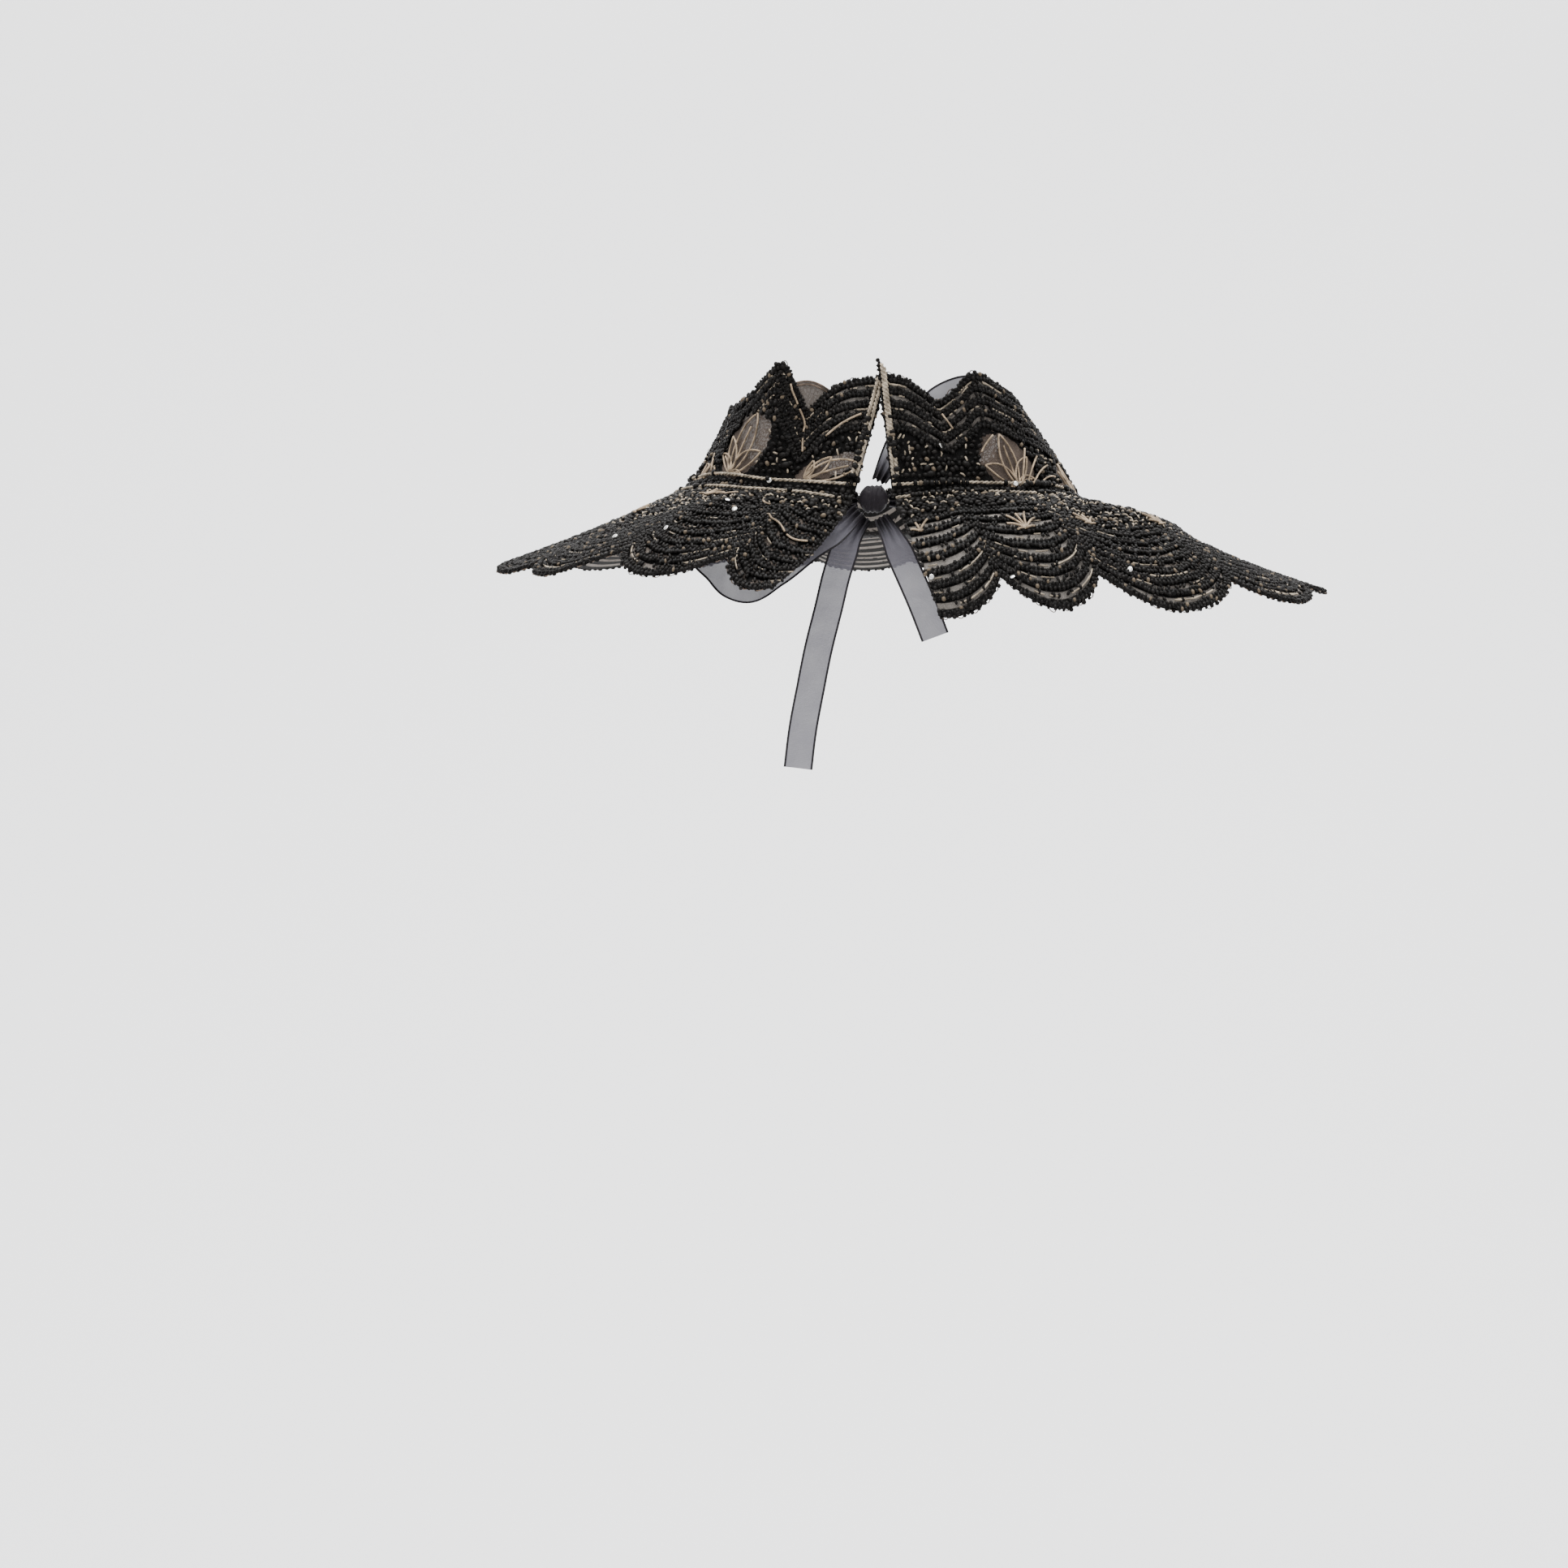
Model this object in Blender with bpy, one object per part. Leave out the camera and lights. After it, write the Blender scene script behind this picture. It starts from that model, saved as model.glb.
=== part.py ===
"""Beaded lace collar, open at the back and tied there with a sheer ribbon.

The frame has +Z up, the back opening at -Y and the collar's right-hand side, as worn, at +X.
The origin is the centre of the neck opening, level with the fold line at the nape.
Sizes are in millimetres and degrees, and turned into metres where a mesh is made.
The collar is one curved surface: a stand that rises from the fold line, and a flange
that falls from it and ends in round scallops.
"""
from collections import namedtuple
from functools import lru_cache

import bmesh
import bpy
import numpy as np

MM = 0.001
PART_NAME = "crochet_collar"

# Driving sizes, in millimetres
CLOTH_WALL = 1.2
BEAD_ROW_HEIGHT = 0.7
BEAD_ROW_PITCH = 4.4
BEAD_ROWS = 5
EDGE_TO_FIRST_ROW = 1.4
SEAM_GAP = 0.3
FOLD_REACH = 4.0
SCALLOP_DEPTH = 12.0
SCALLOP_ROUNDNESS = 0.75
NECK_LEAN = 5.0
CORD_RADIUS = 0.9
CORD_FROM_FOLD = 4.2
CORD_CLEARANCE = 0.5
CORD_END_TURN = 0.5
BINDING_WIDTH = 2.6
BINDING_THICKNESS = 1.3
BINDING_GROOVE = 0.5
BINDING_BED = 0.4
BINDING_FOOT = 0.16
BINDING_HEAD = 0.985
RIBBON_WIDTH = 10.0
RIBBON_WALL = 1.0
RIBBON_WIDTH_IN_KNOT = 5.2
RIBBON_DRAW_IN = 14.0
KNOT_CENTRE = (-0.7, -60.4, -1.6)
KNOT_RADII = (5.0, 4.0, 5.2)
KNOT_WAIST = 0.18
KNOT_WAIST_SPREAD = 0.35

# How finely the cloth is divided
STEPS_PER_FOLD = 5
STEPS_PER_SCALLOP = 10
PLAIN_LINES = 2
INNER_LINES = 4
CORD_POINTS = 56
CORD_BEVEL = 1
RIBBON_STEP = 5.0
BINDING_SECTIONS = 11
BINDING_STEPS = 4
KNOT_SEGMENTS = 16
KNOT_RINGS = 10
SMOOTH_BELOW = 0.7

# How far apart the points are that a surface's direction is worked out from
SMALL_TURN = 0.15
SMALL_SHARE = 0.004

# Finishes: a colour and a roughness each
Finish = namedtuple("Finish", "name colour roughness")
STAND_LACE = Finish("black_beaded_lace", (0.018, 0.016, 0.015), 0.55)
FLANGE_LACE = Finish("black_beaded_lace_flange", (0.020, 0.017, 0.015), 0.55)
TAN_CORD = Finish("tan_cord", (0.36, 0.27, 0.17), 0.5)
ORGANZA = Finish("grey_organza", (0.16, 0.155, 0.165), 0.45)

# The fold line between stand and flange. Azimuth runs from the back over the right-hand
# side and the front to the left side of the opening.
Neckline = namedtuple("Neckline", "azimuth radius height")
NECKLINE = (
    Neckline(5.5, 60.5, -1.0),
    Neckline(30.0, 63.5, 0.0),
    Neckline(60.0, 70.5, 0.5),
    Neckline(90.0, 75.0, -4.5),
    Neckline(120.0, 71.0, -6.0),
    Neckline(150.0, 66.0, -7.0),
    Neckline(180.0, 63.0, -9.0),
    Neckline(210.0, 62.5, -6.0),
    Neckline(240.0, 63.5, -1.0),
    Neckline(270.0, 65.8, 4.0),
    Neckline(300.0, 65.0, 4.3),
    Neckline(330.0, 62.0, 0.8),
    Neckline(353.0, 60.5, -1.0),
)

# The top edge of the stand, a row for each peak, valley and slope of its folds.
# Belly is how far the cloth swells outwards half way up.
StandFold = namedtuple("StandFold", "azimuth top_azimuth top_radius top_height belly")
STAND_FOLDS = (
    StandFold(5.5, 0.5, 60.5, 46.5, 0.0),
    StandFold(8.0, 3.6, 60.0, 41.5, 0.0),
    StandFold(12.0, 8.2, 58.5, 40.8, 0.0),
    StandFold(20.0, 15.5, 57.5, 36.5, 0.5),
    StandFold(27.0, 22.6, 55.0, 32.5, 0.0),
    StandFold(33.0, 28.5, 59.5, 37.5, 0.0),
    StandFold(39.0, 32.5, 62.5, 42.8, 0.5),
    StandFold(49.0, 44.0, 60.0, 39.3, 0.8),
    StandFold(61.0, 58.0, 57.4, 34.8, 1.5),
    StandFold(75.0, 74.0, 53.4, 30.2, 1.6),
    StandFold(88.0, 87.0, 52.0, 33.0, 1.4),
    StandFold(101.0, 100.0, 51.0, 32.0, 0.4),
    StandFold(127.0, 127.0, 52.0, 16.0, 0.0),
    StandFold(153.0, 153.0, 56.5, 20.0, 1.0),
    StandFold(180.0, 180.0, 54.0, 5.0, 0.0),
    StandFold(207.0, 207.0, 56.5, 20.0, 1.0),
    StandFold(233.0, 233.0, 52.0, 16.0, 0.0),
    StandFold(259.0, 260.0, 49.5, 32.0, 0.0),
    StandFold(272.0, 273.0, 49.0, 34.5, -1.5),
    StandFold(285.0, 285.0, 49.5, 27.0, -1.5),
    StandFold(299.0, 300.0, 55.0, 32.0, 0.0),
    StandFold(311.0, 315.0, 59.5, 36.0, 0.0),
    StandFold(321.0, 329.8, 63.5, 46.3, 0.0),
    StandFold(327.0, 331.5, 61.0, 40.5, 0.0),
    StandFold(333.0, 335.2, 56.0, 29.0, 0.0),
    StandFold(340.0, 344.5, 54.5, 37.0, 0.0),
    StandFold(347.0, 354.5, 54.5, 40.5, 0.0),
    StandFold(353.0, 364.0, 55.0, 41.0, 0.0),
)

# The line of the notches between the flange's scallops, and how far the cloth
# arches above the straight way from the fold line to it.
FlangeRim = namedtuple("FlangeRim", "azimuth radius height arch")
FLANGE_RIM = (
    FlangeRim(11.5, 91.5, -33.0, 3.0),
    FlangeRim(17.0, 95.5, -31.0, 4.0),
    FlangeRim(24.7, 101.5, -29.0, 5.5),
    FlangeRim(33.0, 105.5, -28.0, 6.5),
    FlangeRim(42.2, 112.0, -28.0, 6.0),
    FlangeRim(52.0, 122.0, -31.0, 5.5),
    FlangeRim(64.5, 134.5, -29.5, 5.0),
    FlangeRim(75.0, 144.0, -30.5, 3.0),
    FlangeRim(90.0, 151.0, -29.0, 0.0),
    FlangeRim(110.0, 143.0, -23.0, 2.0),
    FlangeRim(135.0, 124.0, -17.0, 3.0),
    FlangeRim(160.0, 113.0, -15.5, 1.5),
    FlangeRim(180.0, 110.0, -15.5, 1.5),
    FlangeRim(200.0, 109.0, -15.5, 1.0),
    FlangeRim(225.0, 111.0, -16.5, 0.5),
    FlangeRim(250.0, 116.0, -17.5, 0.0),
    FlangeRim(270.0, 122.0, -19.5, -1.0),
    FlangeRim(287.0, 120.0, -22.5, 0.5),
    FlangeRim(297.0, 116.0, -22.0, 1.0),
    FlangeRim(308.0, 111.5, -20.0, 1.5),
    FlangeRim(318.0, 108.0, -21.0, 3.0),
    FlangeRim(328.5, 102.5, -21.5, 3.0),
    FlangeRim(337.0, 98.5, -26.5, 1.0),
    FlangeRim(342.5, 96.0, -28.5, -0.5),
)
NOTCH_AZIMUTHS = [4.0, 24.2, 41.8, 64.4, 84.5, 103.0, 121.0, 138.0, 155.0, 172.0,
                  190.0, 208.0, 227.0, 247.0, 267.0, 287.0, 310.0, 331.0, 347.0]
SCALLOP_STARTS = 0.3
SCALLOP_FULL = 0.7

# Soft ridges and troughs of the flange, placed by azimuth and by share of its depth
FlangeFold = namedtuple("FlangeFold", "azimuth half_width lift place spread")
FLANGE_FOLDS = [
    FlangeFold(88.0, 18.0, 4.6, 0.36, 0.15),
    FlangeFold(38.0, 7.0, 1.6, 0.55, 0.30),
    FlangeFold(58.0, 9.0, -1.8, 0.60, 0.30),
    FlangeFold(122.0, 9.0, 2.4, 0.55, 0.30),
    FlangeFold(148.0, 10.0, -2.0, 0.60, 0.35),
    FlangeFold(176.0, 9.0, 2.2, 0.50, 0.30),
    FlangeFold(203.0, 10.0, -1.8, 0.60, 0.30),
    FlangeFold(232.0, 9.0, 2.2, 0.50, 0.35),
    FlangeFold(292.0, 8.0, -1.4, 0.60, 0.30),
    FlangeFold(313.0, 8.0, 1.6, 0.50, 0.30),
]

# The ribbon's routes: the middle line, and the way its face looks
RibbonPoint = namedtuple("RibbonPoint", "x y z face_x face_y face_z")
LOOP_RIGHT = (
    RibbonPoint(1.2, -56.4, 4.7, 0.0, -1.0, 0.1),
    RibbonPoint(6.0, -52.5, 13.4, 0.1, -1.0, 0.15),
    RibbonPoint(14.6, -45.6, 25.7, 0.28, -0.96, 0.15),
    RibbonPoint(23.2, -42.1, 34.5, 0.44, -0.9, 0.05),
    RibbonPoint(31.9, -36.7, 38.1, 0.61, -0.79, 0.0),
    RibbonPoint(39.0, -30.1, 37.3, 0.74, -0.67, 0.0),
    RibbonPoint(40.3, -28.6, 31.0, 0.77, -0.64, 0.0),
    RibbonPoint(36.7, -34.5, 22.2, 0.69, -0.73, 0.1),
    RibbonPoint(27.4, -45.8, 13.0, 0.49, -0.87, 0.15),
    RibbonPoint(15.9, -53.2, 6.0, 0.28, -0.96, 0.1),
    RibbonPoint(7.1, -56.2, 2.6, 0.12, -0.99, 0.1),
)
LOOP_LEFT = (
    RibbonPoint(-5.4, -62.6, -5.6, 0.0, -1.0, 0.2),
    RibbonPoint(-12.3, -65.0, -11.6, 0.0, -1.0, 0.3),
    RibbonPoint(-22.0, -69.5, -18.3, -0.1, -1.0, 0.4),
    RibbonPoint(-34.7, -74.5, -28.5, -0.2, -1.0, 0.45),
    RibbonPoint(-44.0, -77.0, -33.8, -0.3, -1.0, 0.45),
    RibbonPoint(-49.4, -76.5, -32.0, -0.35, -1.0, 0.45),
    RibbonPoint(-54.3, -74.5, -26.7, -0.35, -1.0, 0.45),
    RibbonPoint(-59.0, -71.0, -21.8, -0.4, -1.0, 0.45),
    RibbonPoint(-60.7, -67.0, -17.0, -0.4, -1.0, 0.45),
    RibbonPoint(-56.5, -64.0, -12.8, -0.4, -1.0, 0.45),
    RibbonPoint(-48.5, -62.0, -10.8, -0.35, -1.0, 0.4),
    RibbonPoint(-36.0, -60.2, -9.2, -0.3, -1.0, 0.35),
    RibbonPoint(-22.0, -56.8, -7.6, -0.2, -1.0, 0.3),
    RibbonPoint(-13.0, -55.4, -5.6, -0.15, -1.0, 0.2),
    RibbonPoint(-6.6, -56.2, -3.8, 0.0, -1.0, 0.1),
)
TAIL_LEFT = (
    RibbonPoint(-3.6, -59.4, -7.6, 0.0, -1.0, 0.2),
    RibbonPoint(-8.6, -60.6, -14.6, 0.0, -1.0, 0.2),
    RibbonPoint(-12.8, -61.8, -25.5, 0.0, -1.0, 0.15),
    RibbonPoint(-16.3, -63.2, -39.6, 0.05, -1.0, 0.1),
    RibbonPoint(-19.8, -64.8, -53.6, 0.05, -1.0, 0.1),
    RibbonPoint(-22.6, -66.6, -67.6, 0.05, -1.0, 0.1),
    RibbonPoint(-25.2, -68.8, -81.6, 0.0, -1.0, 0.12),
    RibbonPoint(-26.8, -70.6, -94.6, 0.0, -1.0, 0.12),
)
TAIL_RIGHT = (
    RibbonPoint(1.8, -61.4, -7.8, 0.0, -1.0, 0.2),
    RibbonPoint(5.8, -62.6, -15.0, 0.05, -1.0, 0.2),
    RibbonPoint(10.8, -64.4, -26.0, 0.05, -1.0, 0.15),
    RibbonPoint(16.0, -66.2, -38.0, 0.05, -1.0, 0.12),
    RibbonPoint(20.4, -67.4, -49.5, 0.05, -1.0, 0.12),
)
TIE_RIGHT = (
    RibbonPoint(4.7, -58.3, -1.6, 0.08, -1.0, 0.0),
    RibbonPoint(8.5, -57.9, -1.5, 0.14, -1.0, 0.0),
    RibbonPoint(13.0, -57.0, -1.4, 0.22, -1.0, 0.0),
)
TIE_LEFT = (
    RibbonPoint(-6.1, -58.2, -1.6, -0.1, -1.0, 0.0),
    RibbonPoint(-10.0, -57.7, -1.5, -0.17, -1.0, 0.0),
    RibbonPoint(-14.5, -56.9, -1.0, -0.25, -1.0, 0.0),
)


def column(rows, name):
    """The named column of a table, as an array."""
    return np.array([getattr(row, name) for row in rows])


def between(places, values, tangents, at):
    """The value at a place on a curve that is given by its values and slopes."""
    i = int(np.clip(np.searchsorted(places, at) - 1, 0, len(places) - 2))
    step = places[i + 1] - places[i]
    t = (at - places[i]) / step
    start = (1.0 + 2.0 * t) * (1.0 - t) ** 2 * values[i] + t * (1.0 - t) ** 2 * step * tangents[i]
    end = t * t * (3.0 - 2.0 * t) * values[i + 1] + t * t * (t - 1.0) * step * tangents[i + 1]
    return start + end


@lru_cache(maxsize=None)
def table_curve(rows, name):
    """The places, values and slopes of a curve through a column, with no overshoots."""
    places, values = column(rows, "azimuth"), column(rows, name)
    steps = np.diff(places)
    slopes = np.diff(values) / steps
    tangents = np.zeros(len(values))
    tangents[0], tangents[-1] = slopes[0], slopes[-1]
    for i in range(1, len(values) - 1):
        if slopes[i - 1] * slopes[i] > 0.0:
            near = 2.0 * steps[i] + steps[i - 1]
            far = steps[i] + 2.0 * steps[i - 1]
            tangents[i] = (near + far) / (near / slopes[i - 1] + far / slopes[i])
    return places, values, tangents


@lru_cache(maxsize=None)
def table_value(rows, name, azimuth):
    """A column of a table, read smoothly at an azimuth."""
    return between(*table_curve(rows, name), azimuth)


def polar(azimuth, radius, height):
    """A point from its azimuth, its distance from the neck's axis and its height."""
    angle = np.radians(azimuth)
    return np.array([radius * np.sin(angle), -radius * np.cos(angle), height])


def unit(vector):
    """The vector at length one."""
    return vector / np.linalg.norm(vector)


def fold_line(azimuth):
    """The point of the fold line at this azimuth."""
    return polar(azimuth, table_value(NECKLINE, "radius", azimuth),
                 table_value(NECKLINE, "height", azimuth))


def stand_sheet(azimuth, share):
    """The stand without its fold: share runs from the fold line, 0, to the top edge, 1."""
    top = polar(*[table_value(STAND_FOLDS, name, azimuth)
                  for name in ("top_azimuth", "top_radius", "top_height")])
    top[1] += NECK_LEAN
    foot = fold_line(azimuth)
    belly = table_value(STAND_FOLDS, "belly", azimuth) * 4.0 * share * (1.0 - share)
    outwards = polar(azimuth, 1.0, 0.0)
    return foot + (top - foot) * share + outwards * belly


def rim_azimuth(azimuth):
    """Where the cloth that leaves the fold line at this azimuth meets the rim."""
    first, last = STAND_FOLDS[0].azimuth, STAND_FOLDS[-1].azimuth
    share = (azimuth - first) / (last - first)
    return FLANGE_RIM[0].azimuth + share * (FLANGE_RIM[-1].azimuth - FLANGE_RIM[0].azimuth)


def flange_sheet(azimuth, share):
    """The flange as a smooth cape: share runs from the fold line, 0, to the notches, 1."""
    at_rim = rim_azimuth(azimuth)
    foot_radius = table_value(NECKLINE, "radius", azimuth)
    foot_height = table_value(NECKLINE, "height", azimuth)
    out = table_value(FLANGE_RIM, "radius", at_rim) - foot_radius
    down = table_value(FLANGE_RIM, "height", at_rim) - foot_height
    depth = np.hypot(out, down)
    hump = 4.0 * share * (1.0 - share)
    arch = table_value(FLANGE_RIM, "arch", at_rim) * hump
    for fold in FLANGE_FOLDS:
        across = (at_rim - fold.azimuth) / fold.half_width
        along = (share - fold.place) / fold.spread
        arch += fold.lift * np.exp(-across ** 2 - along ** 2) * min(hump, 1.0)
    radius = foot_radius + out * share - down / depth * arch
    height = foot_height + down * share + out / depth * arch
    return polar(azimuth + (at_rim - azimuth) * share, radius, height)


def stand_depth(azimuth):
    """The straight way from the fold line to the stand's top edge."""
    return np.linalg.norm(stand_sheet(azimuth, 1.0) - stand_sheet(azimuth, 0.0))


def flange_depth(azimuth):
    """The straight way from the fold line to the line of the notches."""
    at_rim = rim_azimuth(azimuth)
    out = table_value(FLANGE_RIM, "radius", at_rim) - table_value(NECKLINE, "radius", azimuth)
    down = table_value(FLANGE_RIM, "height", at_rim) - table_value(NECKLINE, "height", azimuth)
    return np.hypot(out, down)


def scallop(azimuth):
    """How far the rim stands out past its notches here, as a share of the full depth."""
    place = np.interp(rim_azimuth(azimuth), NOTCH_AZIMUTHS, range(len(NOTCH_AZIMUTHS)))
    from_middle = 2.0 * (place - np.floor(place)) - 1.0
    return (1.0 - from_middle ** 2) ** SCALLOP_ROUNDNESS


def flange_reach(azimuth, share):
    """The share of the cape that a share of the scalloped flange stands for."""
    grown = np.clip((share - SCALLOP_STARTS) / (SCALLOP_FULL - SCALLOP_STARTS), 0.0, 1.0)
    return share * (1.0 + SCALLOP_DEPTH / flange_depth(azimuth) * scallop(azimuth) * grown)


def folded(azimuth, share, side):
    """The collar's surface, rounded where the stand (side 1) turns into the flange (side -1)."""
    sheet, depth = (stand_sheet, stand_depth) if side > 0.0 else (flange_sheet, flange_depth)
    reach = FOLD_REACH / depth(azimuth)
    if share >= reach:
        return sheet(azimuth, share)
    on_stand = stand_sheet(azimuth, FOLD_REACH / stand_depth(azimuth))
    on_flange = flange_sheet(azimuth, FOLD_REACH / flange_depth(azimuth))
    t = 0.5 + 0.5 * side * share / reach
    corner = fold_line(azimuth)
    return on_flange * (1.0 - t) ** 2 + corner * 2.0 * t * (1.0 - t) + on_stand * t ** 2


def surface_normal(azimuth, share, side):
    """The way that the collar's outer face looks at a point."""
    along = folded(azimuth + SMALL_TURN, share, side) - folded(azimuth - SMALL_TURN, share, side)
    low = max(share - SMALL_SHARE, 0.0)
    across = folded(azimuth, share + SMALL_SHARE, side) - folded(azimuth, low, side)
    return unit(np.cross(along, across)) * side


def cloth_point(azimuth, share, side, lift):
    """A point of a panel, moved out from its inner face by a lift."""
    reach = share if side > 0.0 else flange_reach(azimuth, share)
    return folded(azimuth, reach, side) + surface_normal(azimuth, reach, side) * lift


def row_lines(depth):
    """Shares and lifts down a panel's outer face: bead rows at its edge, then plain cloth."""
    lines = [(0.0, 0.0)]
    for row in range(BEAD_ROWS):
        ridge = EDGE_TO_FIRST_ROW + row * BEAD_ROW_PITCH
        lines.append((ridge, BEAD_ROW_HEIGHT))
        lines.append((ridge + BEAD_ROW_PITCH / 2.0, 0.0))
    squeeze = min(1.0, (depth - FOLD_REACH - 1.0) / lines[-1][0])
    lines = [(distance * squeeze, height) for distance, height in lines]
    last, seam = lines[-1][0], depth - SEAM_GAP / 2.0
    fold = depth - FOLD_REACH
    for step in range(1, PLAIN_LINES + 1):
        lines.append((last + (fold - last) * step / PLAIN_LINES, 0.0))
    lines.append((fold + FOLD_REACH / 2.0, 0.0))
    lines.append((seam, 0.0))
    return [(1.0 - distance / depth, height) for distance, height in lines]


def panel_section(azimuth, side):
    """One closed section through a panel: its ribbed outer face, then its plain inner face."""
    if side > 0.0:
        depth = stand_depth(azimuth)
    else:
        depth = flange_depth(azimuth) * flange_reach(azimuth, 1.0)
    outer = [cloth_point(azimuth, share, side, CLOTH_WALL + height)
             for share, height in row_lines(depth)]
    fold_share = FOLD_REACH / depth
    shares = [SEAM_GAP / 2.0 / depth, fold_share / 2.0]
    shares += list(np.linspace(fold_share, 1.0, INNER_LINES))
    return outer + [cloth_point(azimuth, share, side, 0.0) for share in shares]


def divided(stops, steps):
    """Places that run through every stop, with the same number of steps between them."""
    places = [start + (end - start) * step / steps
              for start, end in zip(stops, stops[1:]) for step in range(steps)]
    return places + [stops[-1]]


def material(finish):
    """A plain material from a row of the finishes."""
    made = bpy.data.materials.new(finish.name)
    made.use_nodes = True
    shader = made.node_tree.nodes["Principled BSDF"]
    shader.inputs["Base Color"].default_value = (*finish.colour, 1.0)
    shader.inputs["Roughness"].default_value = finish.roughness
    return made


def add_object(name, mesh, finish, collection):
    """Put a mesh in the part's collection under its node's name."""
    made = bpy.data.objects.new(name, mesh)
    made.data.materials.append(finish)
    collection.objects.link(made)
    return made


def loft(name, sections, finish, collection):
    """A closed solid through a row of closed sections that have the same number of points."""
    shape = bmesh.new()
    rings = [[shape.verts.new(point * MM) for point in section] for section in sections]
    for ring, next_ring in zip(rings, rings[1:]):
        for i in range(len(ring)):
            j = (i + 1) % len(ring)
            shape.faces.new((ring[i], ring[j], next_ring[j], next_ring[i]))
    shape.faces.new(rings[0])
    shape.faces.new(rings[-1])
    bmesh.ops.recalc_face_normals(shape, faces=shape.faces)
    mesh = bpy.data.meshes.new(name)
    shape.to_mesh(mesh)
    shape.free()
    mesh.shade_smooth()
    mesh.set_sharp_from_angle(angle=SMOOTH_BELOW)
    return add_object(name, mesh, finish, collection)


def rim_stops():
    """The azimuths on the fold line whose cloth ends in the notches between the scallops."""
    first, last = STAND_FOLDS[0].azimuth, STAND_FOLDS[-1].azimuth
    rim_first, rim_last = FLANGE_RIM[0].azimuth, FLANGE_RIM[-1].azimuth
    inside = [first + (notch - rim_first) / (rim_last - rim_first) * (last - first)
              for notch in NOTCH_AZIMUTHS if rim_first < notch < rim_last]
    return [first] + inside + [last]


def add_stand(finish, collection):
    """The stand: a folded wall round the neck, with rows of beads along its top edge."""
    stops = list(column(STAND_FOLDS, "azimuth"))
    sections = [panel_section(azimuth, 1.0) for azimuth in divided(stops, STEPS_PER_FOLD)]
    return loft("collar_stand", sections, finish, collection)


def add_flange(finish, collection):
    """The flange: a scalloped cape that falls from the fold line."""
    places = divided(rim_stops(), STEPS_PER_SCALLOP)
    sections = [panel_section(azimuth, -1.0) for azimuth in places]
    return loft("collar_flange", sections, finish, collection)


def add_neckline_cord(name, side, finish, collection):
    """A round cord along the fold line, resting on the panel beside it."""
    lift = CLOTH_WALL + CORD_CLEARANCE + CORD_RADIUS
    first, last = STAND_FOLDS[0].azimuth, STAND_FOLDS[-1].azimuth
    points = []
    for azimuth in np.linspace(first + CORD_END_TURN, last - CORD_END_TURN, CORD_POINTS):
        depth = stand_depth(azimuth) if side > 0.0 else flange_depth(azimuth)
        share = CORD_FROM_FOLD / depth
        points.append(folded(azimuth, share, side) + surface_normal(azimuth, share, side) * lift)
    curve = bpy.data.curves.new(name, "CURVE")
    curve.dimensions = "3D"
    curve.bevel_depth = CORD_RADIUS * MM
    curve.bevel_resolution = CORD_BEVEL
    curve.use_fill_caps = True
    spline = curve.splines.new("POLY")
    spline.points.add(len(points) - 1)
    for target, point in zip(spline.points, points):
        target.co = (*(point * MM), 1.0)
    return add_object(name, curve, finish, collection)


def add_binding(name, edge_azimuth, inwards, finish, collection):
    """A double cord bound over the upright edge of the back opening."""
    crown = [0.0, BINDING_THICKNESS, BINDING_THICKNESS - BINDING_GROOVE, BINDING_THICKNESS, 0.0]
    sections = []
    under = CLOTH_WALL + BEAD_ROW_HEIGHT + SEAM_GAP
    for share in np.linspace(BINDING_FOOT, BINDING_HEAD, BINDING_SECTIONS):
        radius = np.linalg.norm(folded(edge_azimuth, share, 1.0)[:2])
        turn = np.degrees(BINDING_WIDTH / radius) * inwards
        across = [edge_azimuth + turn * step / BINDING_STEPS for step in range(BINDING_STEPS + 1)]
        top = [cloth_point(azimuth, share, 1.0, under + BINDING_BED + height)
               for azimuth, height in zip(across, crown)]
        bottom = [cloth_point(azimuth, share, 1.0, under) for azimuth in reversed(across)]
        sections.append(top + bottom)
    return loft(name, sections, finish, collection)


def ribbon_route(points):
    """Evenly spaced middle points and face directions along a ribbon's route."""
    table = np.array([tuple(point) for point in points])
    lengths = np.concatenate([[0.0], np.cumsum(np.linalg.norm(np.diff(table[:, :3], axis=0), axis=1))])
    route = []
    for place in np.linspace(0.0, lengths[-1], 2 + int(lengths[-1] / RIBBON_STEP)):
        values = [rounded(lengths, table[:, k], place) for k in range(table.shape[1])]
        route.append((np.array(values[:3]), unit(np.array(values[3:]))))
    return route, lengths[-1]


def rounded(places, values, at):
    """A rounded curve through a column of values, for routes that turn back."""
    return between(places, values, np.gradient(values, places), at)


def add_ribbon(name, points, gathered_ends, finish, collection):
    """A flat ribbon along its route, drawn in where it enters the knot."""
    route, length = ribbon_route(points)
    sections = []
    for i, (middle, face) in enumerate(route):
        before, after = route[max(i - 1, 0)][0], route[min(i + 1, len(route) - 1)][0]
        along = unit(after - before)
        sideways = unit(np.cross(along, face))
        up = np.cross(sideways, along)
        walked = length * i / (len(route) - 1)
        near = min([abs(walked - end * length) for end in gathered_ends] + [RIBBON_DRAW_IN])
        width = RIBBON_WIDTH_IN_KNOT + (RIBBON_WIDTH - RIBBON_WIDTH_IN_KNOT) * near / RIBBON_DRAW_IN
        half, wall = sideways * width / 2.0, up * RIBBON_WALL / 2.0
        sections.append([middle - half - wall, middle + half - wall,
                         middle + half + wall, middle - half + wall])
    return loft(name, sections, finish, collection)


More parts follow.
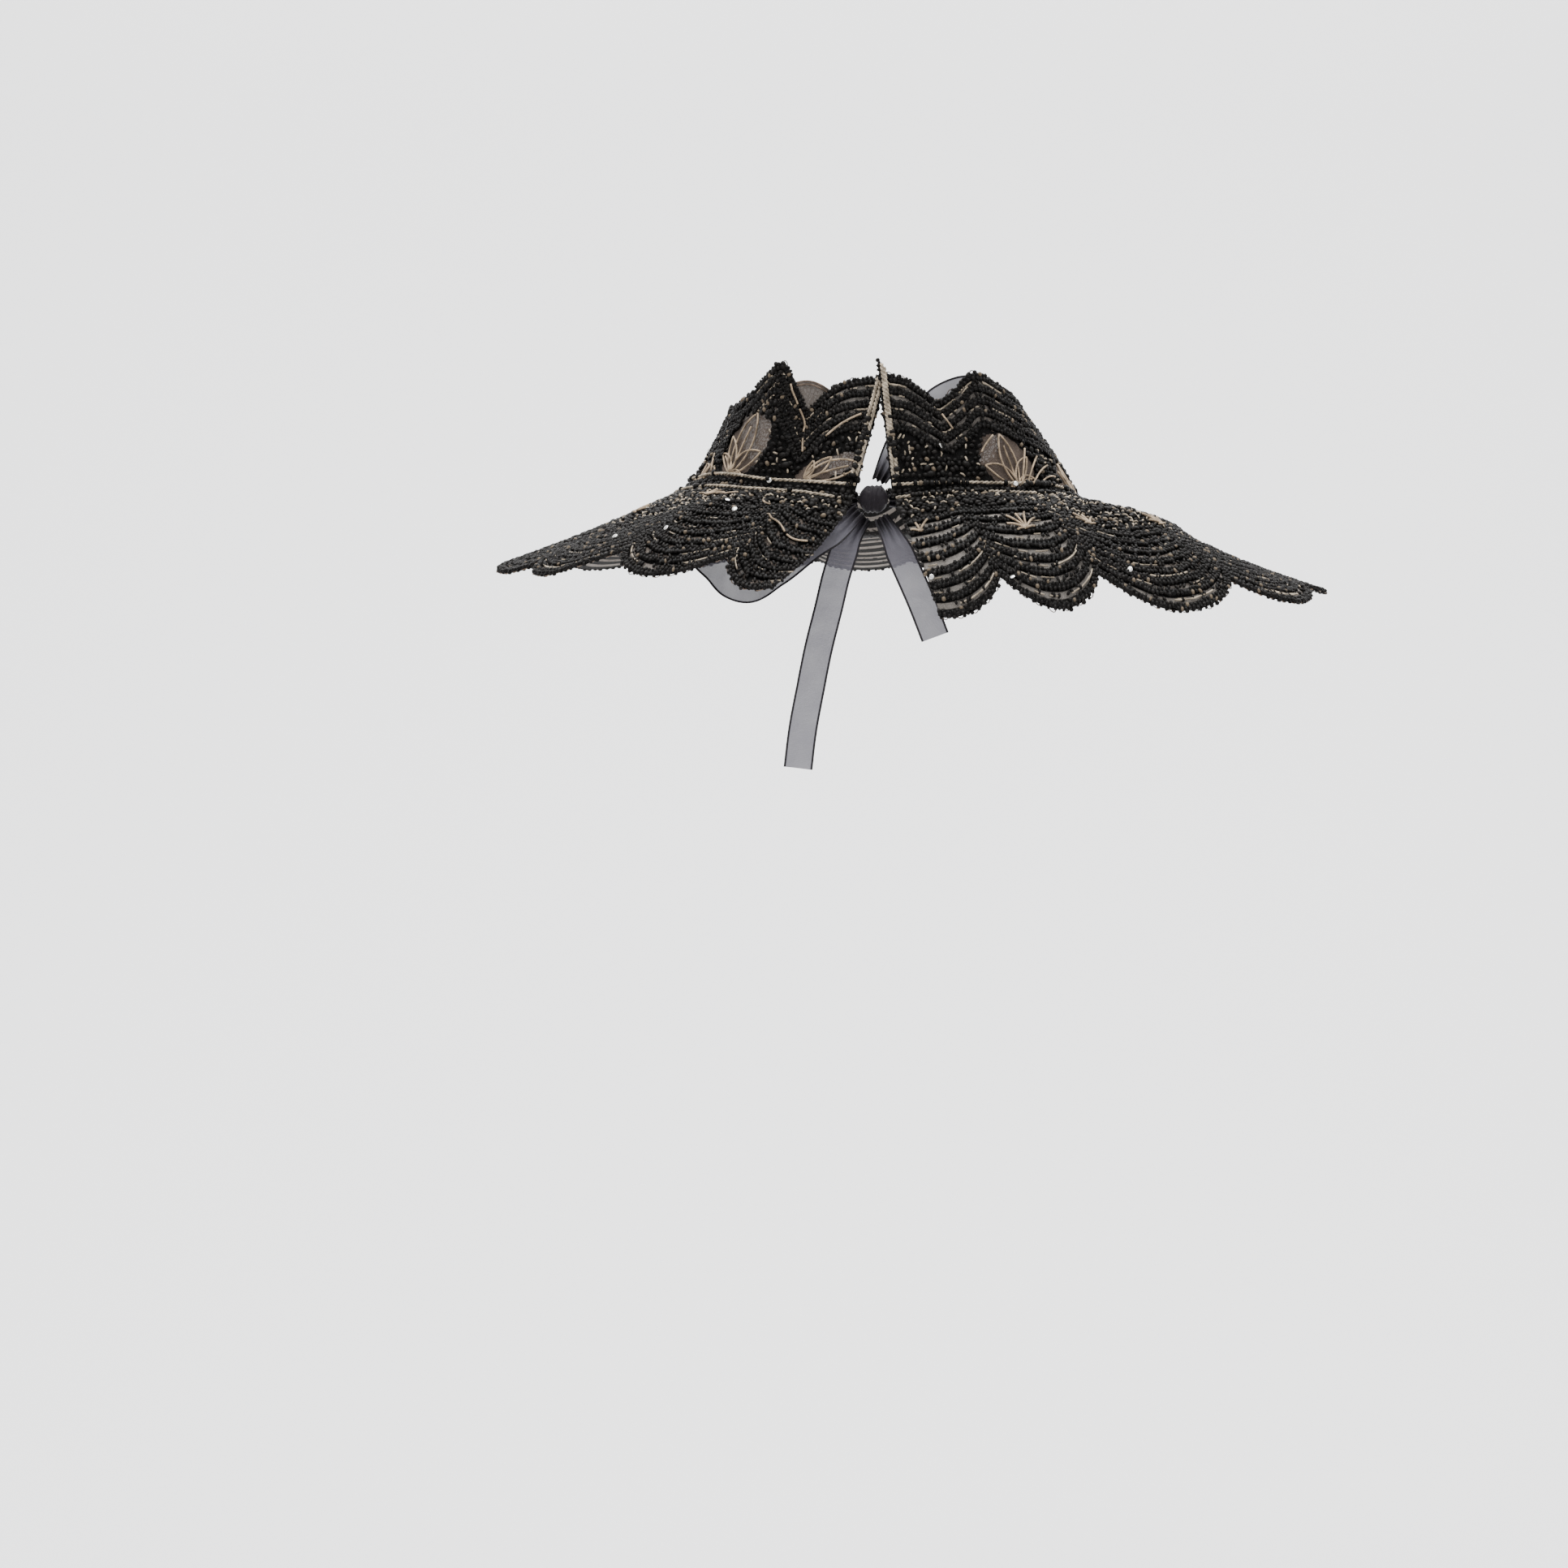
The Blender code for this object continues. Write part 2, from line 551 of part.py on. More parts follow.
def add_knot(finish, collection):
    """The bow's knot: a rounded lump, drawn in at its waist."""
    shape = bmesh.new()
    bmesh.ops.create_uvsphere(shape, u_segments=KNOT_SEGMENTS, v_segments=KNOT_RINGS, radius=1.0)
    for vert in shape.verts:
        waist = 1.0 - KNOT_WAIST * np.exp(-(vert.co.x / KNOT_WAIST_SPREAD) ** 2)
        vert.co.z *= KNOT_RADII[2] * waist
        vert.co.y *= KNOT_RADII[1] * waist
        vert.co.x *= KNOT_RADII[0]
        vert.co *= MM
    mesh = bpy.data.meshes.new("ribbon_knot")
    shape.to_mesh(mesh)
    shape.free()
    mesh.shade_smooth()
    knot = add_object("ribbon_knot", mesh, finish, collection)
    knot.location = np.array(KNOT_CENTRE) * MM
    return knot


def clear_scene():
    """Remove what the scene holds, so that only the collar is left."""
    for old in list(bpy.data.objects):
        bpy.data.objects.remove(old, do_unlink=True)


def main():
    """Build every piece of the collar."""
    clear_scene()
    collection = bpy.data.collections.new(PART_NAME)
    bpy.context.scene.collection.children.link(collection)
    cord = material(TAN_CORD)
    organza = material(ORGANZA)
    add_stand(material(STAND_LACE), collection)
    add_flange(material(FLANGE_LACE), collection)
    add_neckline_cord("neckline_cord_upper", 1.0, cord, collection)
    add_neckline_cord("neckline_cord_lower", -1.0, cord, collection)
    add_binding("opening_binding_right", STAND_FOLDS[0].azimuth, 1.0, cord, collection)
    add_binding("opening_binding_left", STAND_FOLDS[-1].azimuth, -1.0, cord, collection)
    add_knot(organza, collection)
    add_ribbon("ribbon_loop_right", LOOP_RIGHT, (0.0, 1.0), organza, collection)
    add_ribbon("ribbon_loop_left", LOOP_LEFT, (0.0, 1.0), organza, collection)
    add_ribbon("ribbon_tail_left", TAIL_LEFT, (0.0,), organza, collection)
    add_ribbon("ribbon_tail_right", TAIL_RIGHT, (0.0,), organza, collection)
    add_ribbon("ribbon_tie_right", TIE_RIGHT, (0.0,), organza, collection)
    add_ribbon("ribbon_tie_left", TIE_LEFT, (0.0,), organza, collection)


main()
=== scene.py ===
"""Dresses the beaded lace collar: sheer net, rows of glass beads, corded leaves and a ribbon bow.

The frame has +Z up, the back opening at -Y and the collar's right-hand side, as worn, at +X.
Sizes are in millimetres and degrees, and turned into metres where a mesh is made. The collar
is one curved surface. A place on it is given by a panel, an azimuth that runs round from the
back, a distance from the panel's free edge, and a lift off the panel's inner face.
"""
from __future__ import annotations

import logging
import math
from dataclasses import dataclass, field
from enum import Enum
from typing import Callable, NamedTuple, Sequence

import bpy
import numpy as np
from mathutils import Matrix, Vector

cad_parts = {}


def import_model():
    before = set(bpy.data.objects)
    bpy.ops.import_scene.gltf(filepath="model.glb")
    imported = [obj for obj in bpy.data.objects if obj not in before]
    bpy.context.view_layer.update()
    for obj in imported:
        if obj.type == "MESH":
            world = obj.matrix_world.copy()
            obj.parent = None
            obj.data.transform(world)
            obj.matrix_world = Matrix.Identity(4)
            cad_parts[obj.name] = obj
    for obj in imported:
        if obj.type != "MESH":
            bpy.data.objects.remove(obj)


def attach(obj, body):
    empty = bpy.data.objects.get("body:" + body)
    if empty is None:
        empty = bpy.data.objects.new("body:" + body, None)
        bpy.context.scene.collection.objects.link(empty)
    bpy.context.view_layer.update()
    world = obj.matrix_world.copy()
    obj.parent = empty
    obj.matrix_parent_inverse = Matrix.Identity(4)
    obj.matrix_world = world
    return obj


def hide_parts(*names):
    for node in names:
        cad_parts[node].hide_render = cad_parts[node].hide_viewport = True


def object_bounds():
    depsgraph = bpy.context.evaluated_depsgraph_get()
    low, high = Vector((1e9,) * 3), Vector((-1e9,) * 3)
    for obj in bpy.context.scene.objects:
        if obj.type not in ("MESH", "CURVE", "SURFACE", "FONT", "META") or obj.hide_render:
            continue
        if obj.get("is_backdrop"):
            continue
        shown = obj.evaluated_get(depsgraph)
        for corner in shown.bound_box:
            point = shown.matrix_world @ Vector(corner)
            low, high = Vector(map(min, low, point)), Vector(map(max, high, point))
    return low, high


log = logging.getLogger("lace_collar")
MM = 0.001
NET_MAP = 0.01
Array = np.ndarray
Line = Callable[[np.ndarray], np.ndarray]
Number = float | int
Triple = tuple[float, float, float]


class Panel(Enum):
    """The collar's two panels, with the side of the fold line that each lies on."""
    STAND = 1.0
    FLANGE = -1.0

    @property
    def label(self) -> str:
        """The panel's name as pieces and finishes have it."""
        return self.name.lower()


class Neckline(NamedTuple):
    """A place on the fold line between stand and flange."""
    azimuth: float
    radius: float
    height: float


class StandFold(NamedTuple):
    """A peak, valley or slope of the stand's top edge."""
    azimuth: float
    top_azimuth: float
    top_radius: float
    top_height: float
    belly: float


class FlangeRim(NamedTuple):
    """A place on the line of the notches between the scallops."""
    azimuth: float
    radius: float
    height: float
    arch: float


class FlangeFold(NamedTuple):
    """A soft ridge or trough of the flange."""
    azimuth: float
    half_width: float
    lift: float
    place: float
    spread: float


NECKLINE = (
    Neckline(5.5, 60.5, -1.0),
    Neckline(30.0, 63.5, 0.0),
    Neckline(60.0, 70.5, 0.5),
    Neckline(90.0, 75.0, -4.5),
    Neckline(120.0, 71.0, -6.0),
    Neckline(150.0, 66.0, -7.0),
    Neckline(180.0, 63.0, -9.0),
    Neckline(210.0, 62.5, -6.0),
    Neckline(240.0, 63.5, -1.0),
    Neckline(270.0, 65.8, 4.0),
    Neckline(300.0, 65.0, 4.3),
    Neckline(330.0, 62.0, 0.8),
    Neckline(353.0, 60.5, -1.0),
)
STAND_FOLDS = (
    StandFold(5.5, 0.5, 60.5, 46.5, 0.0),
    StandFold(8.0, 3.6, 60.0, 41.5, 0.0),
    StandFold(12.0, 8.2, 58.5, 40.8, 0.0),
    StandFold(20.0, 15.5, 57.5, 36.5, 0.5),
    StandFold(27.0, 22.6, 55.0, 32.5, 0.0),
    StandFold(33.0, 28.5, 59.5, 37.5, 0.0),
    StandFold(39.0, 32.5, 62.5, 42.8, 0.5),
    StandFold(49.0, 44.0, 60.0, 39.3, 0.8),
    StandFold(61.0, 58.0, 57.4, 34.8, 1.5),
    StandFold(75.0, 74.0, 53.4, 30.2, 1.6),
    StandFold(88.0, 87.0, 52.0, 33.0, 1.4),
    StandFold(101.0, 100.0, 51.0, 32.0, 0.4),
    StandFold(127.0, 127.0, 52.0, 16.0, 0.0),
    StandFold(153.0, 153.0, 56.5, 20.0, 1.0),
    StandFold(180.0, 180.0, 54.0, 5.0, 0.0),
    StandFold(207.0, 207.0, 56.5, 20.0, 1.0),
    StandFold(233.0, 233.0, 52.0, 16.0, 0.0),
    StandFold(259.0, 260.0, 49.5, 32.0, 0.0),
    StandFold(272.0, 273.0, 49.0, 34.5, -1.5),
    StandFold(285.0, 285.0, 49.5, 27.0, -1.5),
    StandFold(299.0, 300.0, 55.0, 32.0, 0.0),
    StandFold(311.0, 315.0, 59.5, 36.0, 0.0),
    StandFold(321.0, 329.8, 63.5, 46.3, 0.0),
    StandFold(327.0, 331.5, 61.0, 40.5, 0.0),
    StandFold(333.0, 335.2, 56.0, 29.0, 0.0),
    StandFold(340.0, 344.5, 54.5, 37.0, 0.0),
    StandFold(347.0, 354.5, 54.5, 40.5, 0.0),
    StandFold(353.0, 364.0, 55.0, 41.0, 0.0),
)
FLANGE_RIM = (
    FlangeRim(11.5, 91.5, -33.0, 3.0),
    FlangeRim(17.0, 95.5, -31.0, 4.0),
    FlangeRim(24.7, 101.5, -29.0, 5.5),
    FlangeRim(33.0, 105.5, -28.0, 6.5),
    FlangeRim(42.2, 112.0, -28.0, 6.0),
    FlangeRim(52.0, 122.0, -31.0, 5.5),
    FlangeRim(64.5, 134.5, -29.5, 5.0),
    FlangeRim(75.0, 144.0, -30.5, 3.0),
    FlangeRim(90.0, 151.0, -29.0, 0.0),
    FlangeRim(110.0, 143.0, -23.0, 2.0),
    FlangeRim(135.0, 124.0, -17.0, 3.0),
    FlangeRim(160.0, 113.0, -15.5, 1.5),
    FlangeRim(180.0, 110.0, -15.5, 1.5),
    FlangeRim(200.0, 109.0, -15.5, 1.0),
    FlangeRim(225.0, 111.0, -16.5, 0.5),
    FlangeRim(250.0, 116.0, -17.5, 0.0),
    FlangeRim(270.0, 122.0, -19.5, -1.0),
    FlangeRim(287.0, 120.0, -22.5, 0.5),
    FlangeRim(297.0, 116.0, -22.0, 1.0),
    FlangeRim(308.0, 111.5, -20.0, 1.5),
    FlangeRim(318.0, 108.0, -21.0, 3.0),
    FlangeRim(328.5, 102.5, -21.5, 3.0),
    FlangeRim(337.0, 98.5, -26.5, 1.0),
    FlangeRim(342.5, 96.0, -28.5, -0.5),
)
NOTCH_AZIMUTHS = [4.0, 24.2, 41.8, 64.4, 84.5, 103.0, 121.0, 138.0, 155.0, 172.0,
                  190.0, 208.0, 227.0, 247.0, 267.0, 287.0, 310.0, 331.0, 347.0]
FLANGE_FOLDS = [
    FlangeFold(88.0, 18.0, 4.6, 0.36, 0.15),
    FlangeFold(38.0, 7.0, 1.6, 0.55, 0.30),
    FlangeFold(58.0, 9.0, -1.8, 0.60, 0.30),
    FlangeFold(122.0, 9.0, 2.4, 0.55, 0.30),
    FlangeFold(148.0, 10.0, -2.0, 0.60, 0.35),
    FlangeFold(176.0, 9.0, 2.2, 0.50, 0.30),
    FlangeFold(203.0, 10.0, -1.8, 0.60, 0.30),
    FlangeFold(232.0, 9.0, 2.2, 0.50, 0.35),
    FlangeFold(292.0, 8.0, -1.4, 0.60, 0.30),
    FlangeFold(313.0, 8.0, 1.6, 0.50, 0.30),
]
FIRST, LAST = STAND_FOLDS[0].azimuth, STAND_FOLDS[-1].azimuth
RIM_FIRST, RIM_LAST = FLANGE_RIM[0].azimuth, FLANGE_RIM[-1].azimuth


class SmoothColumn:
    """A smooth curve through one column of a table, with no overshoots."""

    def __init__(self, rows: Sequence[NamedTuple], name: str) -> None:
        """Work out the curve's slopes from the column's values."""
        self.places = np.array([row.azimuth for row in rows])
        self.values = np.array([getattr(row, name) for row in rows])
        steps = np.diff(self.places)
        slopes = np.diff(self.values) / steps
        self.tangents = np.zeros(len(self.values))
        self.tangents[0], self.tangents[-1] = slopes[0], slopes[-1]
        for i in range(1, len(self.values) - 1):
            if slopes[i - 1] * slopes[i] > 0.0:
                near = 2.0 * steps[i] + steps[i - 1]
                far = steps[i] + 2.0 * steps[i - 1]
                self.tangents[i] = (near + far) / (near / slopes[i - 1] + far / slopes[i])

    def __call__(self, at: Array) -> Array:
        """The curve's values at some azimuths."""
        return hermite(self.places, self.values, self.tangents, np.asarray(at, float))


def hermite(places: Array, values: Array, tangents: Array, at: Array) -> Array:
    """Values on a curve given by its values and slopes at some places.

    Args:
        places: where the curve is known, in rising order.
        values: the curve's values there.
        tangents: the curve's slopes there.
        at: where it is wanted.

    Returns:
        The values at those places.
    """
    i = np.clip(np.searchsorted(places, at) - 1, 0, len(places) - 2)
    step = places[i + 1] - places[i]
    t = (at - places[i]) / step
    start = (1.0 + 2.0 * t) * (1.0 - t) ** 2 * values[i] + t * (1.0 - t) ** 2 * step * tangents[i]
    end = t * t * (3.0 - 2.0 * t) * values[i + 1] + t * t * (t - 1.0) * step * tangents[i + 1]
    return start + end


def polar(azimuth: Array, radius: Array, height: Array) -> Array:
    """Points from their azimuths, distances from the collar's axis and heights."""
    angle = np.radians(azimuth)
    return np.stack([radius * np.sin(angle), -radius * np.cos(angle), height + 0.0 * angle], axis=-1)


def unit(vectors: Array) -> Array:
    """Each vector at length one."""
    return vectors / np.maximum(np.linalg.norm(vectors, axis=-1, keepdims=True), 1e-12)


def walked_along(points: Array) -> Array:
    """How far along a row of points each of them is."""
    return np.concatenate([[0.0], np.cumsum(np.linalg.norm(np.diff(points, axis=0), axis=1))])


@dataclass
class CollarForm:
    """The collar's curved surface, from the same named sizes as its solids."""
    wall: float = 1.2
    fold_reach: float = 4.0
    scallop_depth: float = 12.0
    scallop_roundness: float = 0.75
    scallop_starts: float = 0.3
    scallop_full: float = 0.7
    neck_lean: float = 5.0
    slope_turn: float = 0.15
    slope_step: float = 0.004
    columns: dict[str, SmoothColumn] = field(default_factory=dict)

    def __post_init__(self) -> None:
        """Make a smooth curve of each column of the tables."""
        for rows, names in ((NECKLINE, ("radius", "height")),
                            (STAND_FOLDS, ("top_azimuth", "top_radius", "top_height", "belly")),
                            (FLANGE_RIM, ("radius", "height", "arch"))):
            for name in names:
                self.columns[f"{type(rows[0]).__name__}.{name}"] = SmoothColumn(rows, name)

    def read(self, table: type, name: str, at: Array) -> Array:
        """A column of a table at some azimuths."""
        return self.columns[f"{table.__name__}.{name}"](at)

    def fold_line(self, azimuth: Array) -> Array:
        """Points of the fold line."""
        return polar(azimuth, self.read(Neckline, "radius", azimuth), self.read(Neckline, "height", azimuth))

    def stand_sheet(self, azimuth: Array, share: Array) -> Array:
        """The stand without its fold: share runs from the fold line, 0, to the top edge, 1."""
        names = ("top_azimuth", "top_radius", "top_height")
        top = polar(*[self.read(StandFold, name, azimuth) for name in names])
        top[..., 1] += self.neck_lean
        foot = self.fold_line(azimuth)
        belly = self.read(StandFold, "belly", azimuth) * 4.0 * share * (1.0 - share)
        outwards = polar(azimuth, np.ones_like(azimuth), 0.0)
        return foot + (top - foot) * share[..., None] + outwards * belly[..., None]

    def at_rim(self, azimuth: Array) -> Array:
        """Where the cloth that leaves the fold line at an azimuth meets the rim."""
        return RIM_FIRST + (azimuth - FIRST) / (LAST - FIRST) * (RIM_LAST - RIM_FIRST)

    def flange_sheet(self, azimuth: Array, share: Array) -> Array:
        """The flange as a smooth cape: share runs from the fold line, 0, to the notches, 1."""
        rim = self.at_rim(azimuth)
        foot_radius = self.read(Neckline, "radius", azimuth)
        foot_height = self.read(Neckline, "height", azimuth)
        out = self.read(FlangeRim, "radius", rim) - foot_radius
        down = self.read(FlangeRim, "height", rim) - foot_height
        depth = np.hypot(out, down)
        hump = 4.0 * share * (1.0 - share)
        arch = self.read(FlangeRim, "arch", rim) * hump
        for fold in FLANGE_FOLDS:
            across = (rim - fold.azimuth) / fold.half_width
            along = (share - fold.place) / fold.spread
            arch = arch + fold.lift * np.exp(-across ** 2 - along ** 2) * np.minimum(hump, 1.0)
        return polar(azimuth + (rim - azimuth) * share, foot_radius + out * share - down / depth * arch,
                     foot_height + down * share + out / depth * arch)

    def straight_depth(self, panel: Panel, azimuth: Array) -> Array:
        """The straight way from the fold line to the top edge, or to the line of the notches."""
        ends = [self.sheet(panel, azimuth, np.full_like(azimuth, share)) for share in (0.0, 1.0)]
        if panel is Panel.STAND:
            return np.linalg.norm(ends[1] - ends[0], axis=-1)
        rim = self.at_rim(azimuth)
        return np.hypot(self.read(FlangeRim, "radius", rim) - self.read(Neckline, "radius", azimuth),
                        self.read(FlangeRim, "height", rim) - self.read(Neckline, "height", azimuth))

    def sheet(self, panel: Panel, azimuth: Array, share: Array) -> Array:
        """A panel's surface without its fold."""
        return self.stand_sheet(azimuth, share) if panel is Panel.STAND else self.flange_sheet(azimuth, share)

    def scallop(self, azimuth: Array) -> Array:
        """How far the rim stands out past its notches, as a share of the full depth."""
        place = np.interp(self.at_rim(azimuth), NOTCH_AZIMUTHS, range(len(NOTCH_AZIMUTHS)))
        from_middle = 2.0 * (place - np.floor(place)) - 1.0
        return np.maximum(1.0 - from_middle ** 2, 0.0) ** self.scallop_roundness

    def reach(self, panel: Panel, azimuth: Array, share: Array) -> Array:
        """The share of the smooth sheet that a share of the edged panel stands for."""
        if panel is Panel.STAND:
            return share
        grown = np.clip((share - self.scallop_starts) / (self.scallop_full - self.scallop_starts), 0.0, 1.0)
        deep = self.scallop_depth / self.straight_depth(panel, azimuth)
        return share * (1.0 + deep * self.scallop(azimuth) * grown)

    def depth(self, panel: Panel, azimuth: Array) -> Array:
        """The way from the fold line to the panel's free edge."""
        return self.straight_depth(panel, azimuth) * self.reach(panel, azimuth, np.ones_like(azimuth))

    def folded(self, panel: Panel, azimuth: Array, share: Array) -> Array:
        """The inner face, rounded where the stand turns into the flange."""
        fold = self.fold_reach / self.straight_depth(panel, azimuth)
        plain = self.sheet(panel, azimuth, share)
        ends = [self.sheet(side, azimuth, self.fold_reach / self.straight_depth(side, azimuth))
                for side in (Panel.FLANGE, Panel.STAND)]
        t = (0.5 + 0.5 * panel.value * np.minimum(share / fold, 1.0))[..., None]
        corner = self.fold_line(azimuth)
        rounded = ends[0] * (1.0 - t) ** 2 + corner * 2.0 * t * (1.0 - t) + ends[1] * t ** 2
        return np.where((share < fold)[..., None], rounded, plain)

    def frame(self, panel: Panel, azimuth: Array, from_edge: Array,
              lift: Array) -> tuple[Array, Array, Array]:
        """Points of a panel with the surface's own directions there.

        Args:
            panel: stand or flange.
            azimuth: places round the collar, in degrees.
            from_edge: distances from the free edge, negative outside it.
            lift: distances outwards from the inner face.

        Returns:
            The points, the way along the edge, and the outward normal.
        """
        given = [np.asarray(x, float) for x in (azimuth, from_edge, lift)]
        azimuth, from_edge, lift = np.broadcast_arrays(*given)
        deep = self.depth(panel, azimuth)
        share = self.reach(panel, azimuth, 1.0 - from_edge / deep)
        turn, step = self.slope_turn, self.slope_step
        along = self.folded(panel, azimuth + turn, share) - self.folded(panel, azimuth - turn, share)
        low = np.maximum(share - step, 0.0)
        across = self.folded(panel, azimuth, share + step) - self.folded(panel, azimuth, low)
        normal = unit(np.cross(along, across)) * panel.value
        point = self.folded(panel, azimuth, share) + normal * lift[..., None]
        return point, unit(along), normal

    def by_edge(self, distance: float) -> Line:
        """The line that runs at a distance from a panel's free edge."""
        return lambda azimuth: np.full_like(azimuth, distance)

    def by_fold(self, panel: Panel, distance: float) -> Line:
        """The line that runs at a distance from the fold, as distances from the free edge."""
        return lambda azimuth: self.depth(panel, azimuth) - distance

    def spaced(self, panel: Panel, line: Line, spacing: float, start: float = FIRST,
               end: float = LAST) -> Array:
        """Azimuths that lie evenly along a line of the panel.

        Args:
            panel: stand or flange.
            line: the line, as distances from the free edge at some azimuths.
            spacing: the wanted step along the line.
            start: the line's first azimuth.
            end: the line's last azimuth.

        Returns:
            The azimuths, in rising order.
        """
        fine = np.linspace(start, end, 2400)
        point = self.frame(panel, fine, line(fine), self.wall)[0]
        walked = walked_along(point)
        count = max(2, int(round(walked[-1] / spacing)) + 1)
        return np.interp(np.linspace(0.0, walked[-1], count), walked, fine)


@dataclass
class Shape:
    """Points and faces of a mesh in the making, in millimetres, with values kept for each point."""
    points: Array
    faces: list[Array]
    values: dict[str, Array] = field(default_factory=dict)
    uv: Array | None = None

    @staticmethod
    def joined(shapes: Sequence[Shape]) -> Shape:
        """Several shapes as one, with the values that the first of them has."""
        starts = np.concatenate([[0], np.cumsum([len(shape.points) for shape in shapes])])
        faces = [face + start for shape, start in zip(shapes, starts) for face in shape.faces]
        values = {name: np.concatenate([shape.values[name] for shape in shapes]) for name in shapes[0].values}
        return Shape(np.concatenate([shape.points for shape in shapes]), faces, values)

    def piece(self, name: str, finish: bpy.types.Material) -> bpy.types.Object:
        """The finished object, in metres, riding on the collar's one body.

        Args:
            name: the piece's name.
            finish: its material.

        Returns:
            The new object.
        """
        mesh = bpy.data.meshes.new(name)
        faces = [face for group in self.faces for face in group.tolist()]
        mesh.from_pydata((self.points * MM).tolist(), [], faces)
        for label, value in self.values.items():
            mesh.attributes.new(label, "FLOAT", "POINT").data.foreach_set("value", value.astype(np.float32))
        if self.uv is not None:
            corners = np.zeros(len(mesh.loops), np.int32)
            mesh.loops.foreach_get("vertex_index", corners)
            layer = mesh.uv_layers.new(name="UVMap")
            layer.data.foreach_set("uv", self.uv[corners].astype(np.float32).ravel())
        mesh.shade_smooth()
        mesh.materials.append(finish)
        made = bpy.data.objects.new(name, mesh)
        bpy.context.scene.collection.objects.link(made)
        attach(made, "root")
        log.info("%s: %d faces", name, len(mesh.polygons))
        return made


def grid_faces(rows: int, across: int, closed: bool = False) -> Array:
    """Four-sided faces of a grid of points, row after row; closed joins each row's ends."""
    i, j = np.meshgrid(np.arange(rows - 1), np.arange(across if closed else across - 1), indexing="ij")
    right = (j + 1) % across
    corners = [i * across + j, i * across + right, (i + 1) * across + right, (i + 1) * across + j]
    return np.stack(corners, axis=-1).reshape(-1, 4)


def section_axes(points: Array, up: Array) -> tuple[Array, Array]:
    """The ways that a cord's section runs sideways and upwards, at each point of its middle line."""
    forward = unit(np.gradient(points, axis=0))
    sideways = unit(np.cross(forward, up))
    return sideways, np.cross(sideways, forward)


def tube(points: Array, up: Array, radius: float | Array, sides: int, flat: float = 1.0) -> Shape:
    """A closed cord along a row of points.

    Args:
        points: the cord's middle line.
        up: the way that its upper side looks, at each point.
        radius: half its width, or one for each point.
        sides: how many sides its section has.
        flat: its height as a share of its width.

    Returns:
        The cord, with how far along it each point is.
    """
    sideways, upwards = section_axes(points, up)
    angle = np.linspace(0.0, 2.0 * math.pi, sides, endpoint=False)
    wide = np.broadcast_to(np.asarray(radius, float), (len(points),))[:, None, None]
    ring = np.cos(angle)[None, :, None] * sideways[:, None]
    ring = ring + flat * np.sin(angle)[None, :, None] * upwards[:, None]
    body = (points[:, None] + wide * ring).reshape(-1, 3)
    walked = walked_along(points)
    faces = grid_faces(len(points), sides, closed=True)[:, ::-1]
    caps = [np.arange(sides)[None], (np.arange(sides)[::-1] + (len(points) - 1) * sides)[None]]
    return Shape(body, [faces, *caps], {"along": np.repeat(walked, sides)})


PLY_OFFSET, PLY_RADIUS, PLY_SIDES = 0.46, 0.58, 6


def twisted(points: Array, up: Array, radius: float, pitch: float, plies: int = 2) -> Shape:
    """A cord laid up from plies that wind round each other.

    Args:
        points: the cord's middle line, several points to each turn.
        up: the way that its upper side looks.
        radius: the whole cord's radius.
        pitch: the length of one turn.
        plies: how many plies it has.

    Returns:
        The cord.
    """
    sideways, upwards = section_axes(points, up)
    walked = walked_along(points)
    made = []
    for ply in range(plies):
        angle = 2.0 * math.pi * (walked / pitch + ply / plies)
        away = np.cos(angle)[:, None] * sideways + np.sin(angle)[:, None] * upwards
        made.append(tube(points + away * radius * PLY_OFFSET, away, radius * PLY_RADIUS, PLY_SIDES))
    return Shape.joined(made)


def stamped(template: Shape, places: Array, along: Array, up: Array, sizes: Array, tone: Array) -> Shape:
    """Many copies of a small shape in one mesh.

    Args:
        template: the small shape, about one unit in radius.
        places: where each copy's middle goes.
        along: the way that each copy's first axis points.
        up: the way that each copy's third axis points.
        sizes: the copies' sizes along their three axes.
        tone: a number from 0 to 1 for each copy, which its finish reads.

    Returns:
        The copies.
    """
    first = unit(along)
    second = unit(np.cross(up, first))
    third = np.cross(first, second)
    axes = np.stack([first, second, third], axis=1) * sizes[:, :, None]
    points = places[:, None] + np.einsum("vk,nkd->nvd", template.points, axes)
    count = len(template.points)
    starts = (np.arange(len(places)) * count)[:, None, None]
    faces = [(group[None] + starts).reshape(-1, group.shape[1]) for group in template.faces]
    return Shape(points.reshape(-1, 3), faces, {"tone": np.repeat(tone, count)})


def pinched_ball(segments: int, rings: int, pinch: float = 1.0) -> Shape:
    """A ball of radius 1 round its third axis, with its two ends pushed in.

    Args:
        segments: how many sides it has round its axis.
        rings: how many bands it has from end to end.
        pinch: its length along its axis, as a share of its width.

    Returns:
        The ball.
    """
    bpy.ops.object.select_all(action="DESELECT")
    bpy.ops.mesh.primitive_uv_sphere_add(segments=segments, ring_count=rings, radius=1.0)
    ball = bpy.context.object
    bpy.ops.object.mode_set(mode="EDIT")
    bpy.ops.mesh.select_all(action="SELECT")
    bpy.ops.transform.resize(value=(1.0, 1.0, pinch), center_override=(0.0, 0.0, 0.0))
    bpy.ops.object.mode_set(mode="OBJECT")
    points = np.array([vert.co for vert in ball.data.vertices])
    # Blender lists a ball's faces in another order each run, so they are sorted.
    faces = sorted(tuple(face.vertices) for face in ball.data.polygons)
    groups: dict[int, list[tuple[int, ...]]] = {}
    for face in faces:
        groups.setdefault(len(face), []).append(face)
    bpy.data.objects.remove(ball, do_unlink=True)
    return Shape(points, [np.array(group) for group in groups.values()])


